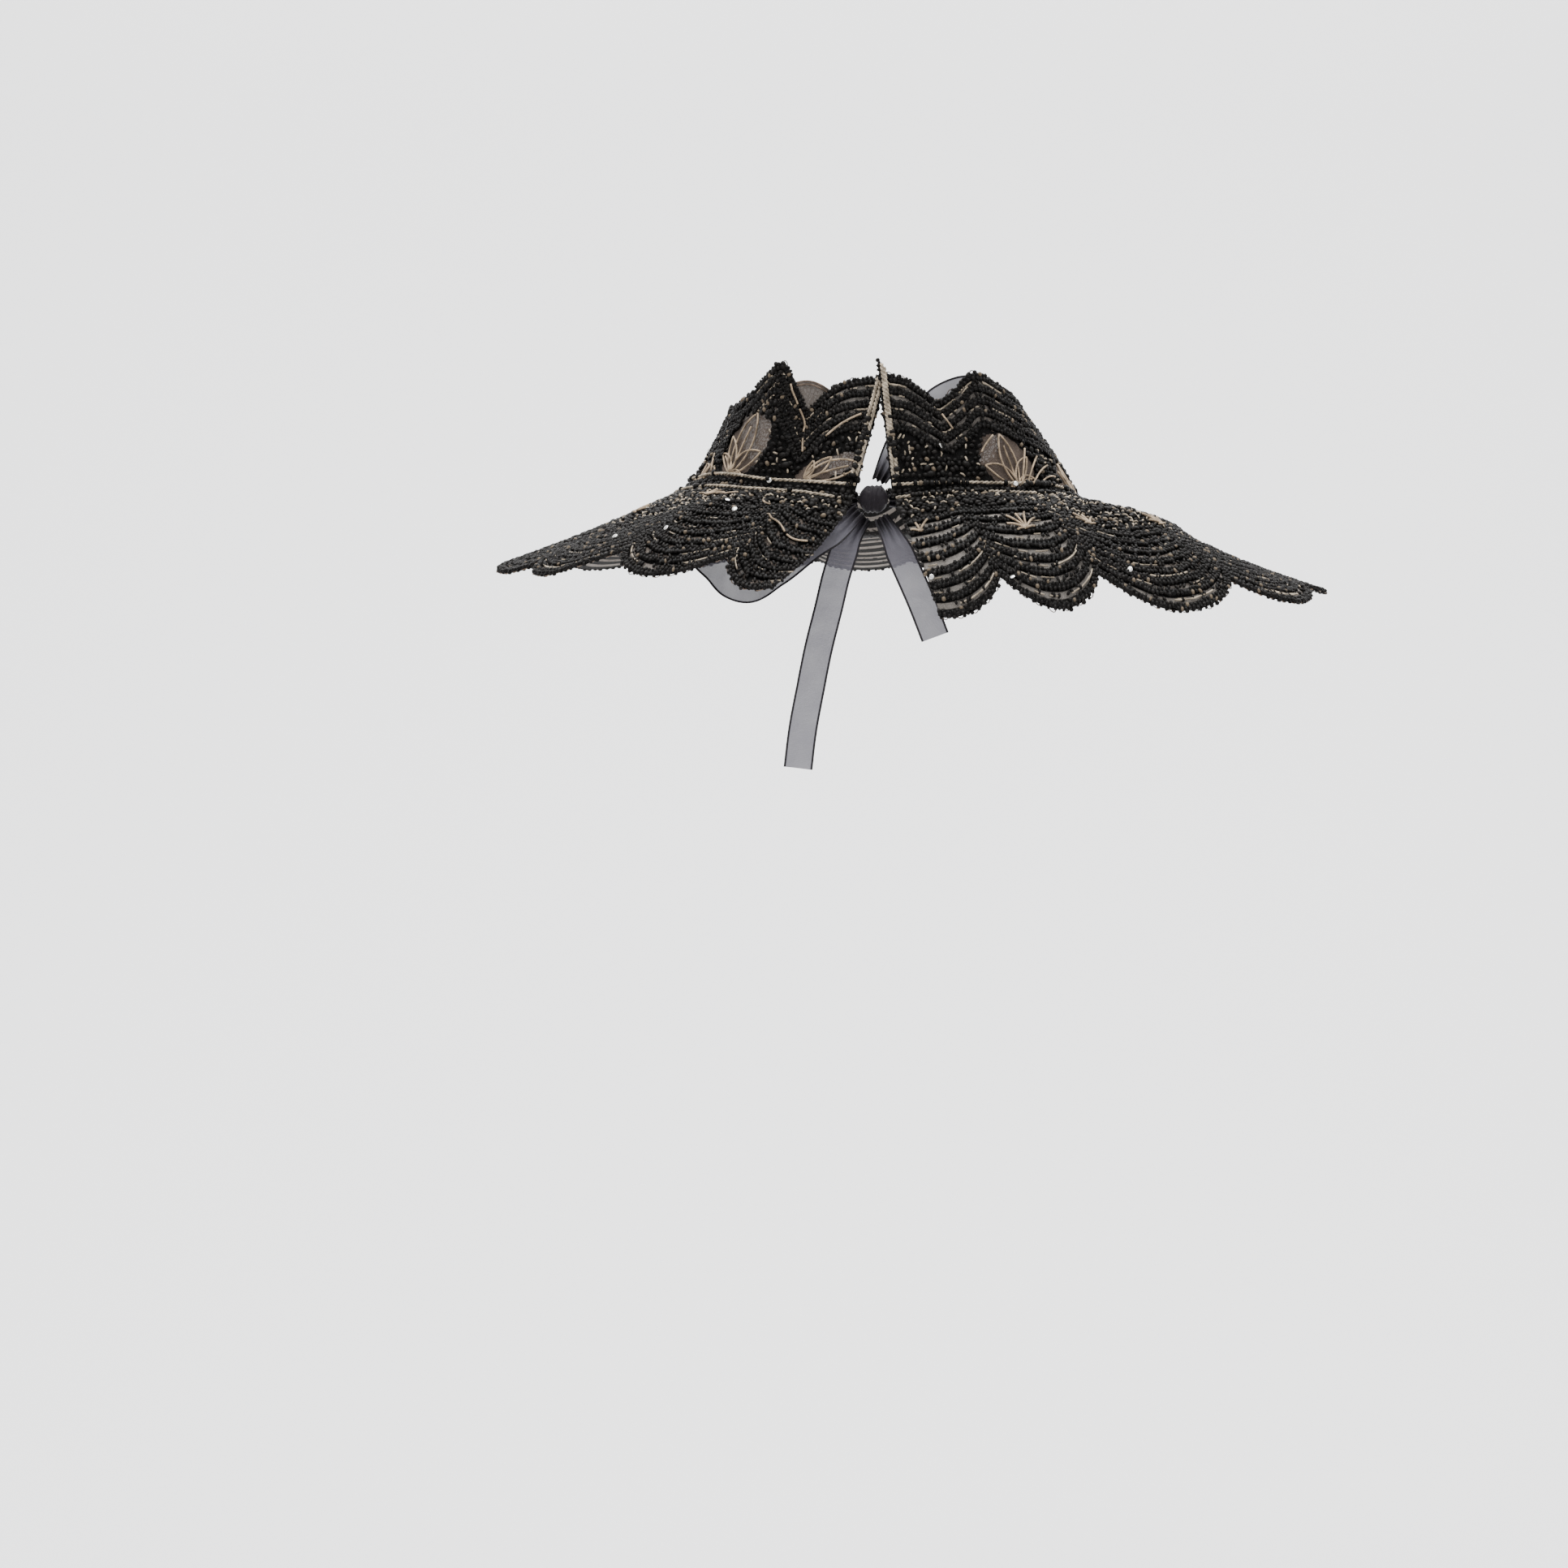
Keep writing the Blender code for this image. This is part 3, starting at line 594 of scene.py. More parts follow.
def bead_template(segments: int, rings: int, pinch: float) -> Shape:
    """A small glass bead with its hole along its first axis."""
    ball = pinched_ball(segments, rings, pinch)
    return Shape(ball.points[:, [2, 0, 1]], ball.faces)


class Wire:
    """A value running through a finish's nodes, which sums and products can be made of."""

    def __init__(self, board: Board, socket: bpy.types.NodeSocket) -> None:
        """Keep the socket that the value comes out of."""
        self.board = board
        self.socket = socket

    def combined(self, operation: str, first: Wire | Number, second: Wire | Number) -> Wire:
        """One sum, difference or product of two values."""
        return self.board.node("ShaderNodeMath", {"operation": operation}, {0: first, 1: second})

    def __add__(self, other: Wire | Number) -> Wire:
        """This value plus another."""
        return self.combined("ADD", self, other)

    def __radd__(self, other: Wire | Number) -> Wire:
        """Another value plus this one."""
        return self.combined("ADD", other, self)

    def __sub__(self, other: Wire | Number) -> Wire:
        """This value less another."""
        return self.combined("SUBTRACT", self, other)

    def __rsub__(self, other: Wire | Number) -> Wire:
        """Another value less this one."""
        return self.combined("SUBTRACT", other, self)

    def __mul__(self, other: Wire | Number) -> Wire:
        """This value times another."""
        return self.combined("MULTIPLY", self, other)

    def __rmul__(self, other: Wire | Number) -> Wire:
        """Another value times this one."""
        return self.combined("MULTIPLY", other, self)


class Board:
    """The nodes of one material, with the few kinds of node that the finishes need."""

    def __init__(self, name: str) -> None:
        """Start a material of this name."""
        self.material = bpy.data.materials.new(name)
        self.material.use_nodes = True
        self.nodes = self.material.node_tree.nodes
        self.links = self.material.node_tree.links
        self.shader = self.nodes["Principled BSDF"]

    def node(self, kind: str, settings: dict[str, object], values: dict[str | int, object],
             output: str | int = 0) -> Wire:
        """Add a node.

        Args:
            kind: Blender's name for the node's type.
            settings: its own settings, which are set first.
            values: a number, colour or wire for some of its sockets.
            output: the socket that is wanted.

        Returns:
            The wire that leaves it.
        """
        made = self.nodes.new(kind)
        for name, setting in settings.items():
            setattr(made, name, setting)
        for name, value in values.items():
            self.feed(made.inputs[name], value)
        return Wire(self, made.outputs[output])

    def feed(self, socket: bpy.types.NodeSocket, value: object) -> None:
        """Set a socket's value, or link a wire to it."""
        if isinstance(value, Wire):
            self.links.new(value.socket, socket)
        else:
            socket.default_value = value

    def set(self, **values: object) -> None:
        """Feed the main shader: a socket's name has _ for each space."""
        for name, value in values.items():
            self.feed(self.shader.inputs[name.replace("_", " ")], value)

    def place(self) -> Wire:
        """Object coordinates, in metres."""
        return self.node("ShaderNodeTexCoord", {}, {}, "Object")

    def flat_place(self) -> Wire:
        """The piece's own UV map."""
        return self.node("ShaderNodeUVMap", {"uv_map": "UVMap"}, {})

    def value(self, name: str) -> Wire:
        """A number kept with the mesh's points."""
        return self.node("ShaderNodeAttribute", {"attribute_name": name}, {}, "Fac")

    def noise(self, at: Wire, size: float, detail: float = 2.0) -> Wire:
        """Soft noise from 0 to 1, with grains of a size in millimetres."""
        values = {"Vector": at, "Scale": 1.0 / (size * MM), "Detail": detail}
        return self.node("ShaderNodeTexNoise", {}, values, 0)

    def ramp(self, value: Wire, low: float, high: float, start: float = 0.0, end: float = 1.0) -> Wire:
        """A value stretched from one range to another, kept within it, with soft ends."""
        return self.node("ShaderNodeMapRange", {"interpolation_type": "SMOOTHSTEP"},
                         {"Value": value, "From Min": low, "From Max": high, "To Min": start, "To Max": end})

    def mixed(self, share: Wire, first: object, second: object) -> Wire:
        """Two colours mixed."""
        values = {name: (*value, 1.0) if isinstance(value, tuple) else value
                  for name, value in (("A", first), ("B", second))}
        made = self.nodes.new("ShaderNodeMix")
        made.data_type = "RGBA"
        self.feed(made.inputs[0], share)
        self.feed(made.inputs[6], values["A"])
        self.feed(made.inputs[7], values["B"])
        return Wire(self, made.outputs[2])

    def bump(self, height: Wire, depth: float) -> Wire:
        """Fine relief for the main shader's Normal, with its depth in millimetres."""
        return self.node("ShaderNodeBump", {}, {"Strength": 1.0, "Distance": depth * MM, "Height": height})


def scaled(colour: Triple, factor: float) -> Triple:
    """A colour made paler or darker, and never past white."""
    return tuple(min(1.0, factor * part) for part in colour)


@dataclass(frozen=True)
class SheerNet:
    """Brown-grey net with fine threads: black where it is closely worked, and painted paler between open bead
    rows, where its own grey is mixed with painted light that shows through it.
    """
    name: str
    thread: Triple = (0.060, 0.046, 0.037)
    lit_between_rows: Triple = (0.205, 0.188, 0.17)
    black: Triple = (0.005, 0.0045, 0.0042)
    cell: float = 1.1
    thread_ends: tuple[float, float] = (0.05, 0.16)
    grain: float = 2.6
    cloud: float = 7.0
    worked_weight: float = 0.66
    worked_ends: tuple[float, float] = (0.80, 0.90)
    row_ends: tuple[float, float] = (0.25, 0.35)
    open_alpha: float = 0.88
    pale_cover: float = 0.12
    relief: float = 0.12

    def material(self) -> bpy.types.Material:
        """The net's material."""
        board = Board(self.name)
        flat = board.flat_place()
        cells = board.node("ShaderNodeTexVoronoi", {"feature": "DISTANCE_TO_EDGE"},
                           {"Vector": flat, "Scale": 1.0 / (self.cell * NET_MAP)}, "Distance")
        threads = board.ramp(cells, *self.thread_ends, 1.0, 0.0)
        pale = board.value("pale")
        grain = board.noise(board.place(), self.grain, 3.0)
        dense = board.ramp(grain + board.value("dense") * self.worked_weight, *self.worked_ends)
        off_row = board.node("ShaderNodeMath", {"operation": "PINGPONG"}, {0: board.value("row"), 1: 0.5})
        under_rows = board.ramp(off_row, *self.row_ends, 1.0, 0.0) * board.value("banded")
        dense = board.ramp(dense + under_rows, 0.0, 1.0)
        uneven = board.noise(board.place(), self.cloud)
        tint = board.mixed(uneven, self.thread, scaled(self.thread, 1.5))
        # Painted light: between open rows the net is painted paler than its threads, for the light that shows
        # through it.
        lit_strips = board.mixed(uneven, scaled(self.lit_between_rows, 0.55), scaled(self.lit_between_rows, 1.4))
        cloth = board.mixed(pale, tint, lit_strips)
        cover = threads * (1.0 - self.open_alpha) + self.open_alpha + dense + pale * self.pale_cover
        board.set(Base_Color=board.mixed(dense, cloth, self.black), Roughness=0.8, Specular_IOR_Level=0.12,
                  Alpha=board.ramp(cover, 0.0, 1.0))
        board.set(Normal=board.bump(threads + dense, self.relief))
        return board.material


@dataclass(frozen=True)
class BlackBeads:
    """Small black beads and knots with a soft gleam, a few of them bronze."""
    name: str
    black: Triple = (0.0042, 0.0037, 0.0034)
    bronze: Triple = (0.105, 0.082, 0.058)
    bronze_share: float = 0.045
    wear: float = 0.8
    roughness: tuple[float, float] = (0.36, 0.6)

    def material(self) -> bpy.types.Material:
        """The beads' material."""
        board = Board(self.name)
        tone = board.value("tone")
        is_bronze = board.ramp(tone, 1.0 - self.bronze_share, 1.001 - self.bronze_share)
        dark = board.mixed(tone, self.black, scaled(self.black, 2.6))
        wear = board.noise(board.place(), self.wear)
        board.set(Base_Color=board.mixed(is_bronze, dark, self.bronze),
                  Roughness=board.ramp(wear, 0.2, 0.8, *self.roughness), Specular_IOR_Level=0.07)
        return board.material


@dataclass(frozen=True)
class Thread:
    """Twisted thread or cord: fine strands, and paler where it catches the light."""
    name: str
    colour: Triple
    strand: float = 0.5
    roughness: float = 0.55
    mottle: float = 3.0
    relief: float = 0.06

    def material(self) -> bpy.types.Material:
        """The thread's material."""
        board = Board(self.name)
        along = board.value("along")
        mottle = board.noise(board.place(), self.mottle)
        turn = along * (2.0 * math.pi / self.strand)
        strands = board.node("ShaderNodeMath", {"operation": "SINE"}, {0: turn})
        raised = strands * 0.5 + 0.5
        dark = scaled(self.colour, 0.45)
        body = board.mixed(board.ramp(mottle, 0.3, 0.7), dark, scaled(self.colour, 1.35))
        board.set(Base_Color=board.mixed(raised * 0.35, body, dark), Roughness=self.roughness,
                  Specular_IOR_Level=0.12, Normal=board.bump(raised, self.relief))
        return board.material


@dataclass(frozen=True)
class Organza:
    """Sheer ribbon with closely woven edges, whose UV map is 0 to 1 across it, and metres along it."""
    name: str
    colour: Triple = (0.10, 0.096, 0.112)
    edge: Triple = (0.012, 0.010, 0.012)
    sheer: float = 0.76
    edge_share: float = 0.06
    specular: float = 0.2
    cloud: float = 6.0
    weave_scale: float = 700.0
    relief: float = 0.03

    def material(self) -> bpy.types.Material:
        """The ribbon's material."""
        board = Board(self.name)
        flat = board.flat_place()
        made = board.node("ShaderNodeSeparateXYZ", {}, {0: flat}, "X")
        across = board.node("ShaderNodeMath", {"operation": "ABSOLUTE"}, {0: made - 0.5})
        woven = board.ramp(across, 0.5 - self.edge_share * 1.4, 0.5 - self.edge_share)
        weave = board.node("ShaderNodeTexWave", {"wave_type": "BANDS", "bands_direction": "Y"},
                           {"Vector": flat, "Scale": self.weave_scale, "Distortion": 0.6})
        cloud = board.noise(board.place(), self.cloud)
        gathered = board.value("gathered")
        cloth = board.mixed(cloud, self.colour, scaled(self.colour, 1.5))
        cover = woven * 0.45 + weave * 0.04 + cloud * 0.1 + self.sheer + gathered * 0.35
        # Where the ribbon is gathered it is painted dark towards its edge colour: painted shade in the
        # gathers, with its crowded dark edges.
        board.set(Base_Color=board.mixed(board.ramp(woven + gathered * 1.2, 0.0, 1.0), cloth, self.edge),
                  Alpha=board.ramp(cover, 0.0, 1.0),
                  Roughness=board.ramp(cloud, 0.2, 0.8, 0.42, 0.6), Specular_IOR_Level=self.specular,
                  Normal=board.bump(weave, self.relief))
        return board.material


@dataclass(frozen=True)
class Sequin:
    """Small bright discs."""
    name: str
    colour: Triple = (0.85, 0.84, 0.80)

    def material(self) -> bpy.types.Material:
        """The discs' material."""
        board = Board(self.name)
        tone = board.value("tone")
        board.set(Base_Color=board.mixed(tone, self.colour, scaled(self.colour, 0.7)),
                  Roughness=board.ramp(tone, 0.0, 1.0, 0.12, 0.3), Metallic=0.85)
        return board.material


@dataclass(frozen=True)
class Plaster:
    """The plain pale floor and wall."""
    name: str
    colour: Triple = (0.80, 0.80, 0.80)

    def material(self) -> bpy.types.Material:
        """The floor's material."""
        board = Board(self.name)
        uneven = board.noise(board.place(), 400.0)
        board.set(Base_Color=board.mixed(uneven, self.colour, scaled(self.colour, 0.98)), Roughness=0.9)
        return board.material


class Spray(NamedTuple):
    """A fan of corded leaves: its foot by azimuth and distance from the fold line, its size, and its way."""
    panel: Panel
    azimuth: float
    foot: float
    height: float
    width: float
    lean: float
    spread: float
    leaves: int


SPRAYS = (
    Spray(Panel.STAND, 308.5, 4.3, 20.5, 19.0, 22.0, 50.0, 5),
    Spray(Panel.STAND, 336.1, 5.2, 10.0, 15.0, 58.0, 28.0, 4),
    Spray(Panel.STAND, 47.5, 3.2, 17.0, 21.0, -14.0, 68.0, 5),
    Spray(Panel.STAND, 76.0, 3.5, 13.0, 19.0, 0.0, 68.0, 5),
    Spray(Panel.STAND, 98.0, 3.5, 12.0, 19.0, 0.0, 68.0, 5),
    Spray(Panel.STAND, 262.0, 3.5, 12.0, 19.0, 0.0, 68.0, 5),
    Spray(Panel.STAND, 287.0, 3.5, 11.0, 18.0, 0.0, 68.0, 5),
    Spray(Panel.FLANGE, 28.5, 37.0, 8.0, 14.0, 0.0, 72.0, 7),
    Spray(Panel.FLANGE, 8.0, 27.0, 6.0, 8.0, 20.0, 60.0, 4),
    Spray(Panel.FLANGE, 312.0, 15.0, 7.0, 14.0, 10.0, 72.0, 6),
    Spray(Panel.FLANGE, 46.0, 36.0, 8.0, 12.0, 0.0, 70.0, 6),
    Spray(Panel.FLANGE, 66.0, 40.0, 9.0, 13.0, 0.0, 70.0, 6),
    Spray(Panel.FLANGE, 90.0, 42.0, 9.0, 14.0, 0.0, 70.0, 7),
    Spray(Panel.FLANGE, 115.0, 36.0, 9.0, 13.0, 0.0, 70.0, 6),
    Spray(Panel.FLANGE, 141.0, 28.0, 8.0, 12.0, 0.0, 70.0, 6),
    Spray(Panel.FLANGE, 170.0, 24.0, 8.0, 12.0, 0.0, 70.0, 6),
    Spray(Panel.FLANGE, 199.0, 24.0, 8.0, 12.0, 0.0, 70.0, 6),
    Spray(Panel.FLANGE, 230.0, 24.0, 8.0, 12.0, 0.0, 70.0, 6),
    Spray(Panel.FLANGE, 262.0, 26.0, 8.0, 12.0, 0.0, 70.0, 6),
    Spray(Panel.FLANGE, 289.0, 27.0, 8.0, 12.0, 0.0, 70.0, 6),
)


@dataclass
class SprayPlace:
    """The patch of a panel that a spray lies on."""
    form: CollarForm
    spray: Spray
    half_width: float = 0.56
    middle: float = 0.52
    half_height: float = 0.60
    margin: float = 0.10

    def __post_init__(self) -> None:
        """Measure how far a degree of azimuth reaches at the patch's middle."""
        turn = 0.5
        azimuth = np.array([self.spray.azimuth - turn, self.spray.azimuth + turn])
        middle = self.spray.foot + self.upwards() * self.spray.height / 2.0
        from_edge = self.form.depth(self.spray.panel, azimuth) - middle
        ends = self.form.frame(self.spray.panel, azimuth, from_edge, 0.0)[0]
        self.per_degree = float(np.linalg.norm(ends[1] - ends[0])) / (2.0 * turn)

    def upwards(self) -> float:
        """A stand's spray grows away from the fold line, and a flange's towards it."""
        return self.spray.panel.value

    def surface(self, x: Array, y: Array, lift: float) -> tuple[Array, Array]:
        """Points and normals of the panel from flat places on the patch."""
        azimuth = self.spray.azimuth + x / self.per_degree
        from_fold = self.spray.foot + self.upwards() * y
        from_edge = self.form.depth(self.spray.panel, azimuth) - from_fold
        point, _, normal = self.form.frame(self.spray.panel, azimuth, from_edge, lift)
        return point, normal

    def flat(self, azimuth: Array, from_fold: Array) -> tuple[Array, Array]:
        """Flat places on the patch from places on the panel."""
        across = (azimuth - self.spray.azimuth) * self.per_degree
        return across, (from_fold - self.spray.foot) * self.upwards()

    def share_at(self, x: Array, y: Array) -> Array:
        """How deep inside the spray's patch some flat places are: 1 in the middle, below 0 outside."""
        spray = self.spray
        shift = math.tan(math.radians(spray.lean)) * y
        across = (x - shift) / (self.half_width * spray.width)
        along = (y - self.middle * spray.height) / (self.half_height * spray.height)
        return 1.0 - across ** 2 - along ** 2

    def share_inside(self, azimuth: Array, from_fold: Array) -> Array:
        """How deep inside the spray's patch each place of the panel is."""
        return self.share_at(*self.flat(azimuth, from_fold))

    def reach(self, angle: float) -> float:
        """How far the patch reaches from the foot in one direction, less a small margin."""
        far = np.linspace(1.0, 30.0, 117)
        inside = self.share_at(far * math.sin(angle), far * math.cos(angle)) > self.margin
        return float(far[inside].max()) if inside.any() else 1.0


@dataclass
class Net:
    """The sheer net that everything is sewn on, one sheet for the stand and one for the flange."""
    form: CollarForm
    column_step: float = 1.5
    row_step: float = 1.5
    lift: float = 0.6
    seam: float = 0.15

    def build(self, panel: Panel, finish: bpy.types.Material) -> bpy.types.Object:
        """One panel's sheet, which stands for that panel's solid.

        Args:
            panel: stand or flange.
            finish: the net's material.

        Returns:
            The sheet.
        """
        azimuth = self.form.spaced(panel, self.form.by_edge(2.0), self.column_step)
        deep = self.form.depth(panel, azimuth)
        rows = int(deep.max() / self.row_step)
        share = np.linspace(0.0, 1.0, rows)[:, None]
        from_edge = share * (deep - self.seam)[None, :]
        where = np.broadcast_to(azimuth[None, :], from_edge.shape)
        points = self.form.frame(panel, where, from_edge, self.lift)[0]
        middle = points[rows // 2]
        walked = walked_along(middle)
        flat = np.stack([np.broadcast_to(walked[None, :], from_edge.shape), from_edge], axis=-1) * NET_MAP
        faces = grid_faces(rows, len(azimuth))
        if panel is Panel.FLANGE:
            faces = faces[:, ::-1]
        tones = self.tones(panel, where, from_edge)
        shape = Shape(points.reshape(-1, 3), [faces], tones, flat.reshape(-1, 2))
        made = shape.piece(f"{panel.label}_net", finish)
        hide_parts(f"collar_{panel.label}")
        return made

    def tones(self, panel: Panel, azimuth: Array, from_edge: Array) -> dict[str, Array]:
        """How closely the net is worked with black, and how pale it is painted between open rows for the
        light through it, from 0 to 1.
        """
        from_fold = self.form.depth(panel, azimuth) - from_edge
        bare = bare_patch(self.form, panel, azimuth, from_fold)
        worked = np.clip(0.6 - bare * 3.0, 0.0, 1.0)
        rows = RowPlan(self.form, panel)
        in_rows = np.clip((rows.line(rows.count - 0.5)(azimuth) - from_edge) / 3.0, 0.0, 1.0)
        in_rows = in_rows * np.clip(1.0 - bare * 6.0, 0.0, 1.0)
        inner = np.clip(from_edge / ROW_PITCHES[panel] - 1.5, 0.0, 1.0)
        open_share = rows.openness(azimuth, inner)
        # pale marks the open gaps, which the net's finish paints paler as painted light.
        return {"dense": (worked * (1.0 - in_rows) + in_rows * (1.0 - open_share) * 0.62).ravel(),
                "pale": (in_rows * open_share).ravel(), "banded": in_rows.ravel(),
                "row": np.clip(rows.row_at(azimuth, from_edge), 0.0, rows.count - 0.5).ravel()}


def bare_patch(form: CollarForm, panel: Panel, azimuth: Array, from_fold: Array) -> Array:
    """How deep inside a stand spray's bare patch each place is: 1 in its middle, and below 0 outside it."""
    bare = np.full(from_fold.shape, -1.0)
    for spray in SPRAYS:
        if spray.panel is panel and panel is Panel.STAND:
            bare = np.maximum(bare, SprayPlace(form, spray).share_inside(azimuth, from_fold))
    return bare


ROW_PITCHES = {Panel.STAND: 4.3, Panel.FLANGE: 3.95}
FIRST_ROW = 1.2
WIDER_FIRST_GAP = 0.7
ROW_COUNTS = {Panel.STAND: 5, Panel.FLANGE: 8}
ROW_FLATTENING = 0.07


class OpenWork(NamedTuple):
    """How open the gaps between the rows are, near the free edge and further in."""
    azimuth: float
    outer: float
    inner: float


STAND_OPENWORK = (
    OpenWork(5.5, 0.95, 0.85),
    OpenWork(30.0, 0.90, 0.80),
    OpenWork(50.0, 0.55, 0.35),
    OpenWork(75.0, 0.35, 0.25),
    OpenWork(110.0, 0.45, 0.35),
    OpenWork(180.0, 0.65, 0.50),
    OpenWork(250.0, 0.50, 0.40),
    OpenWork(300.0, 0.35, 0.25),
    OpenWork(322.0, 0.40, 0.25),
    OpenWork(335.0, 0.90, 0.80),
    OpenWork(353.0, 0.95, 0.85),
)
FLANGE_OPENWORK = (
    OpenWork(5.5, 0.80, 0.95),
    OpenWork(30.0, 0.90, 0.95),
    OpenWork(45.0, 0.85, 0.60),
    OpenWork(60.0, 0.65, 0.20),
    OpenWork(90.0, 0.50, 0.15),
    OpenWork(130.0, 0.60, 0.40),
    OpenWork(180.0, 0.70, 0.50),
    OpenWork(240.0, 0.60, 0.30),
    OpenWork(290.0, 0.40, 0.10),
    OpenWork(325.0, 0.55, 0.15),
    OpenWork(338.0, 0.30, 0.25),
    OpenWork(353.0, 0.15, 0.05),
)


@dataclass
class RowPlan:
    """Where a panel's rows of beads run, and how open the gaps between them are."""
    form: CollarForm
    panel: Panel
    clear_of_fold: float = 7.0

    @property
    def count(self) -> int:
        """How many rows the panel has."""
        return ROW_COUNTS[self.panel]

    def line(self, row: float) -> Line:
        """A row's line, or with a half the middle of the gap past it. Inner rows follow the scallops less."""
        base = FIRST_ROW + row * ROW_PITCHES[self.panel]
        if self.panel is Panel.STAND:
            return self.form.by_edge(base)
        base += WIDER_FIRST_GAP * min(row, 1.0)
        flatter = ROW_FLATTENING * row * self.form.scallop_depth
        return lambda azimuth: base + flatter * self.form.scallop(azimuth)

    def row_at(self, azimuth: Array, from_edge: Array) -> Array:
        """Which row each place lies on: whole numbers on the rows, and halves between them."""
        start = self.line(0.0)(azimuth)
        first, pitch = self.line(1.0)(azimuth) - start, self.line(2.0)(azimuth) - self.line(1.0)(azimuth)
        past = from_edge - start
        return np.where(past < first, past / first, 1.0 + (past - first) / pitch)

    def openness(self, azimuth: Array, inner: Array | float) -> Array:
        """The open share of the gaps at some azimuths: inner is 0 near the free edge, and 1 further in."""
        table = STAND_OPENWORK if self.panel is Panel.STAND else FLANGE_OPENWORK
        places = [row.azimuth for row in table]
        outer_share = np.interp(azimuth, places, [row.outer for row in table])
        inner_share = np.interp(azimuth, places, [row.inner for row in table])
        return outer_share + (inner_share - outer_share) * inner

    def kept(self, azimuth: Array, line: Line) -> Array:
        """Which places of a line lie clear of the neckline cords and off the bare patches."""
        from_fold = self.form.depth(self.panel, azimuth) - line(azimuth)
        bare = bare_patch(self.form, self.panel, azimuth, from_fold)
        return (from_fold > self.clear_of_fold) & (bare < 0.1)

    def runs(self, azimuth: Array, keep: Array, shortest: int = 4) -> list[Array]:
        """The unbroken stretches of a line that are kept."""
        breaks = np.flatnonzero(np.diff(keep.astype(int))) + 1
        return [part for part, kept in zip(np.split(azimuth, breaks), np.split(keep, breaks))
                if kept.all() and len(part) >= shortest]


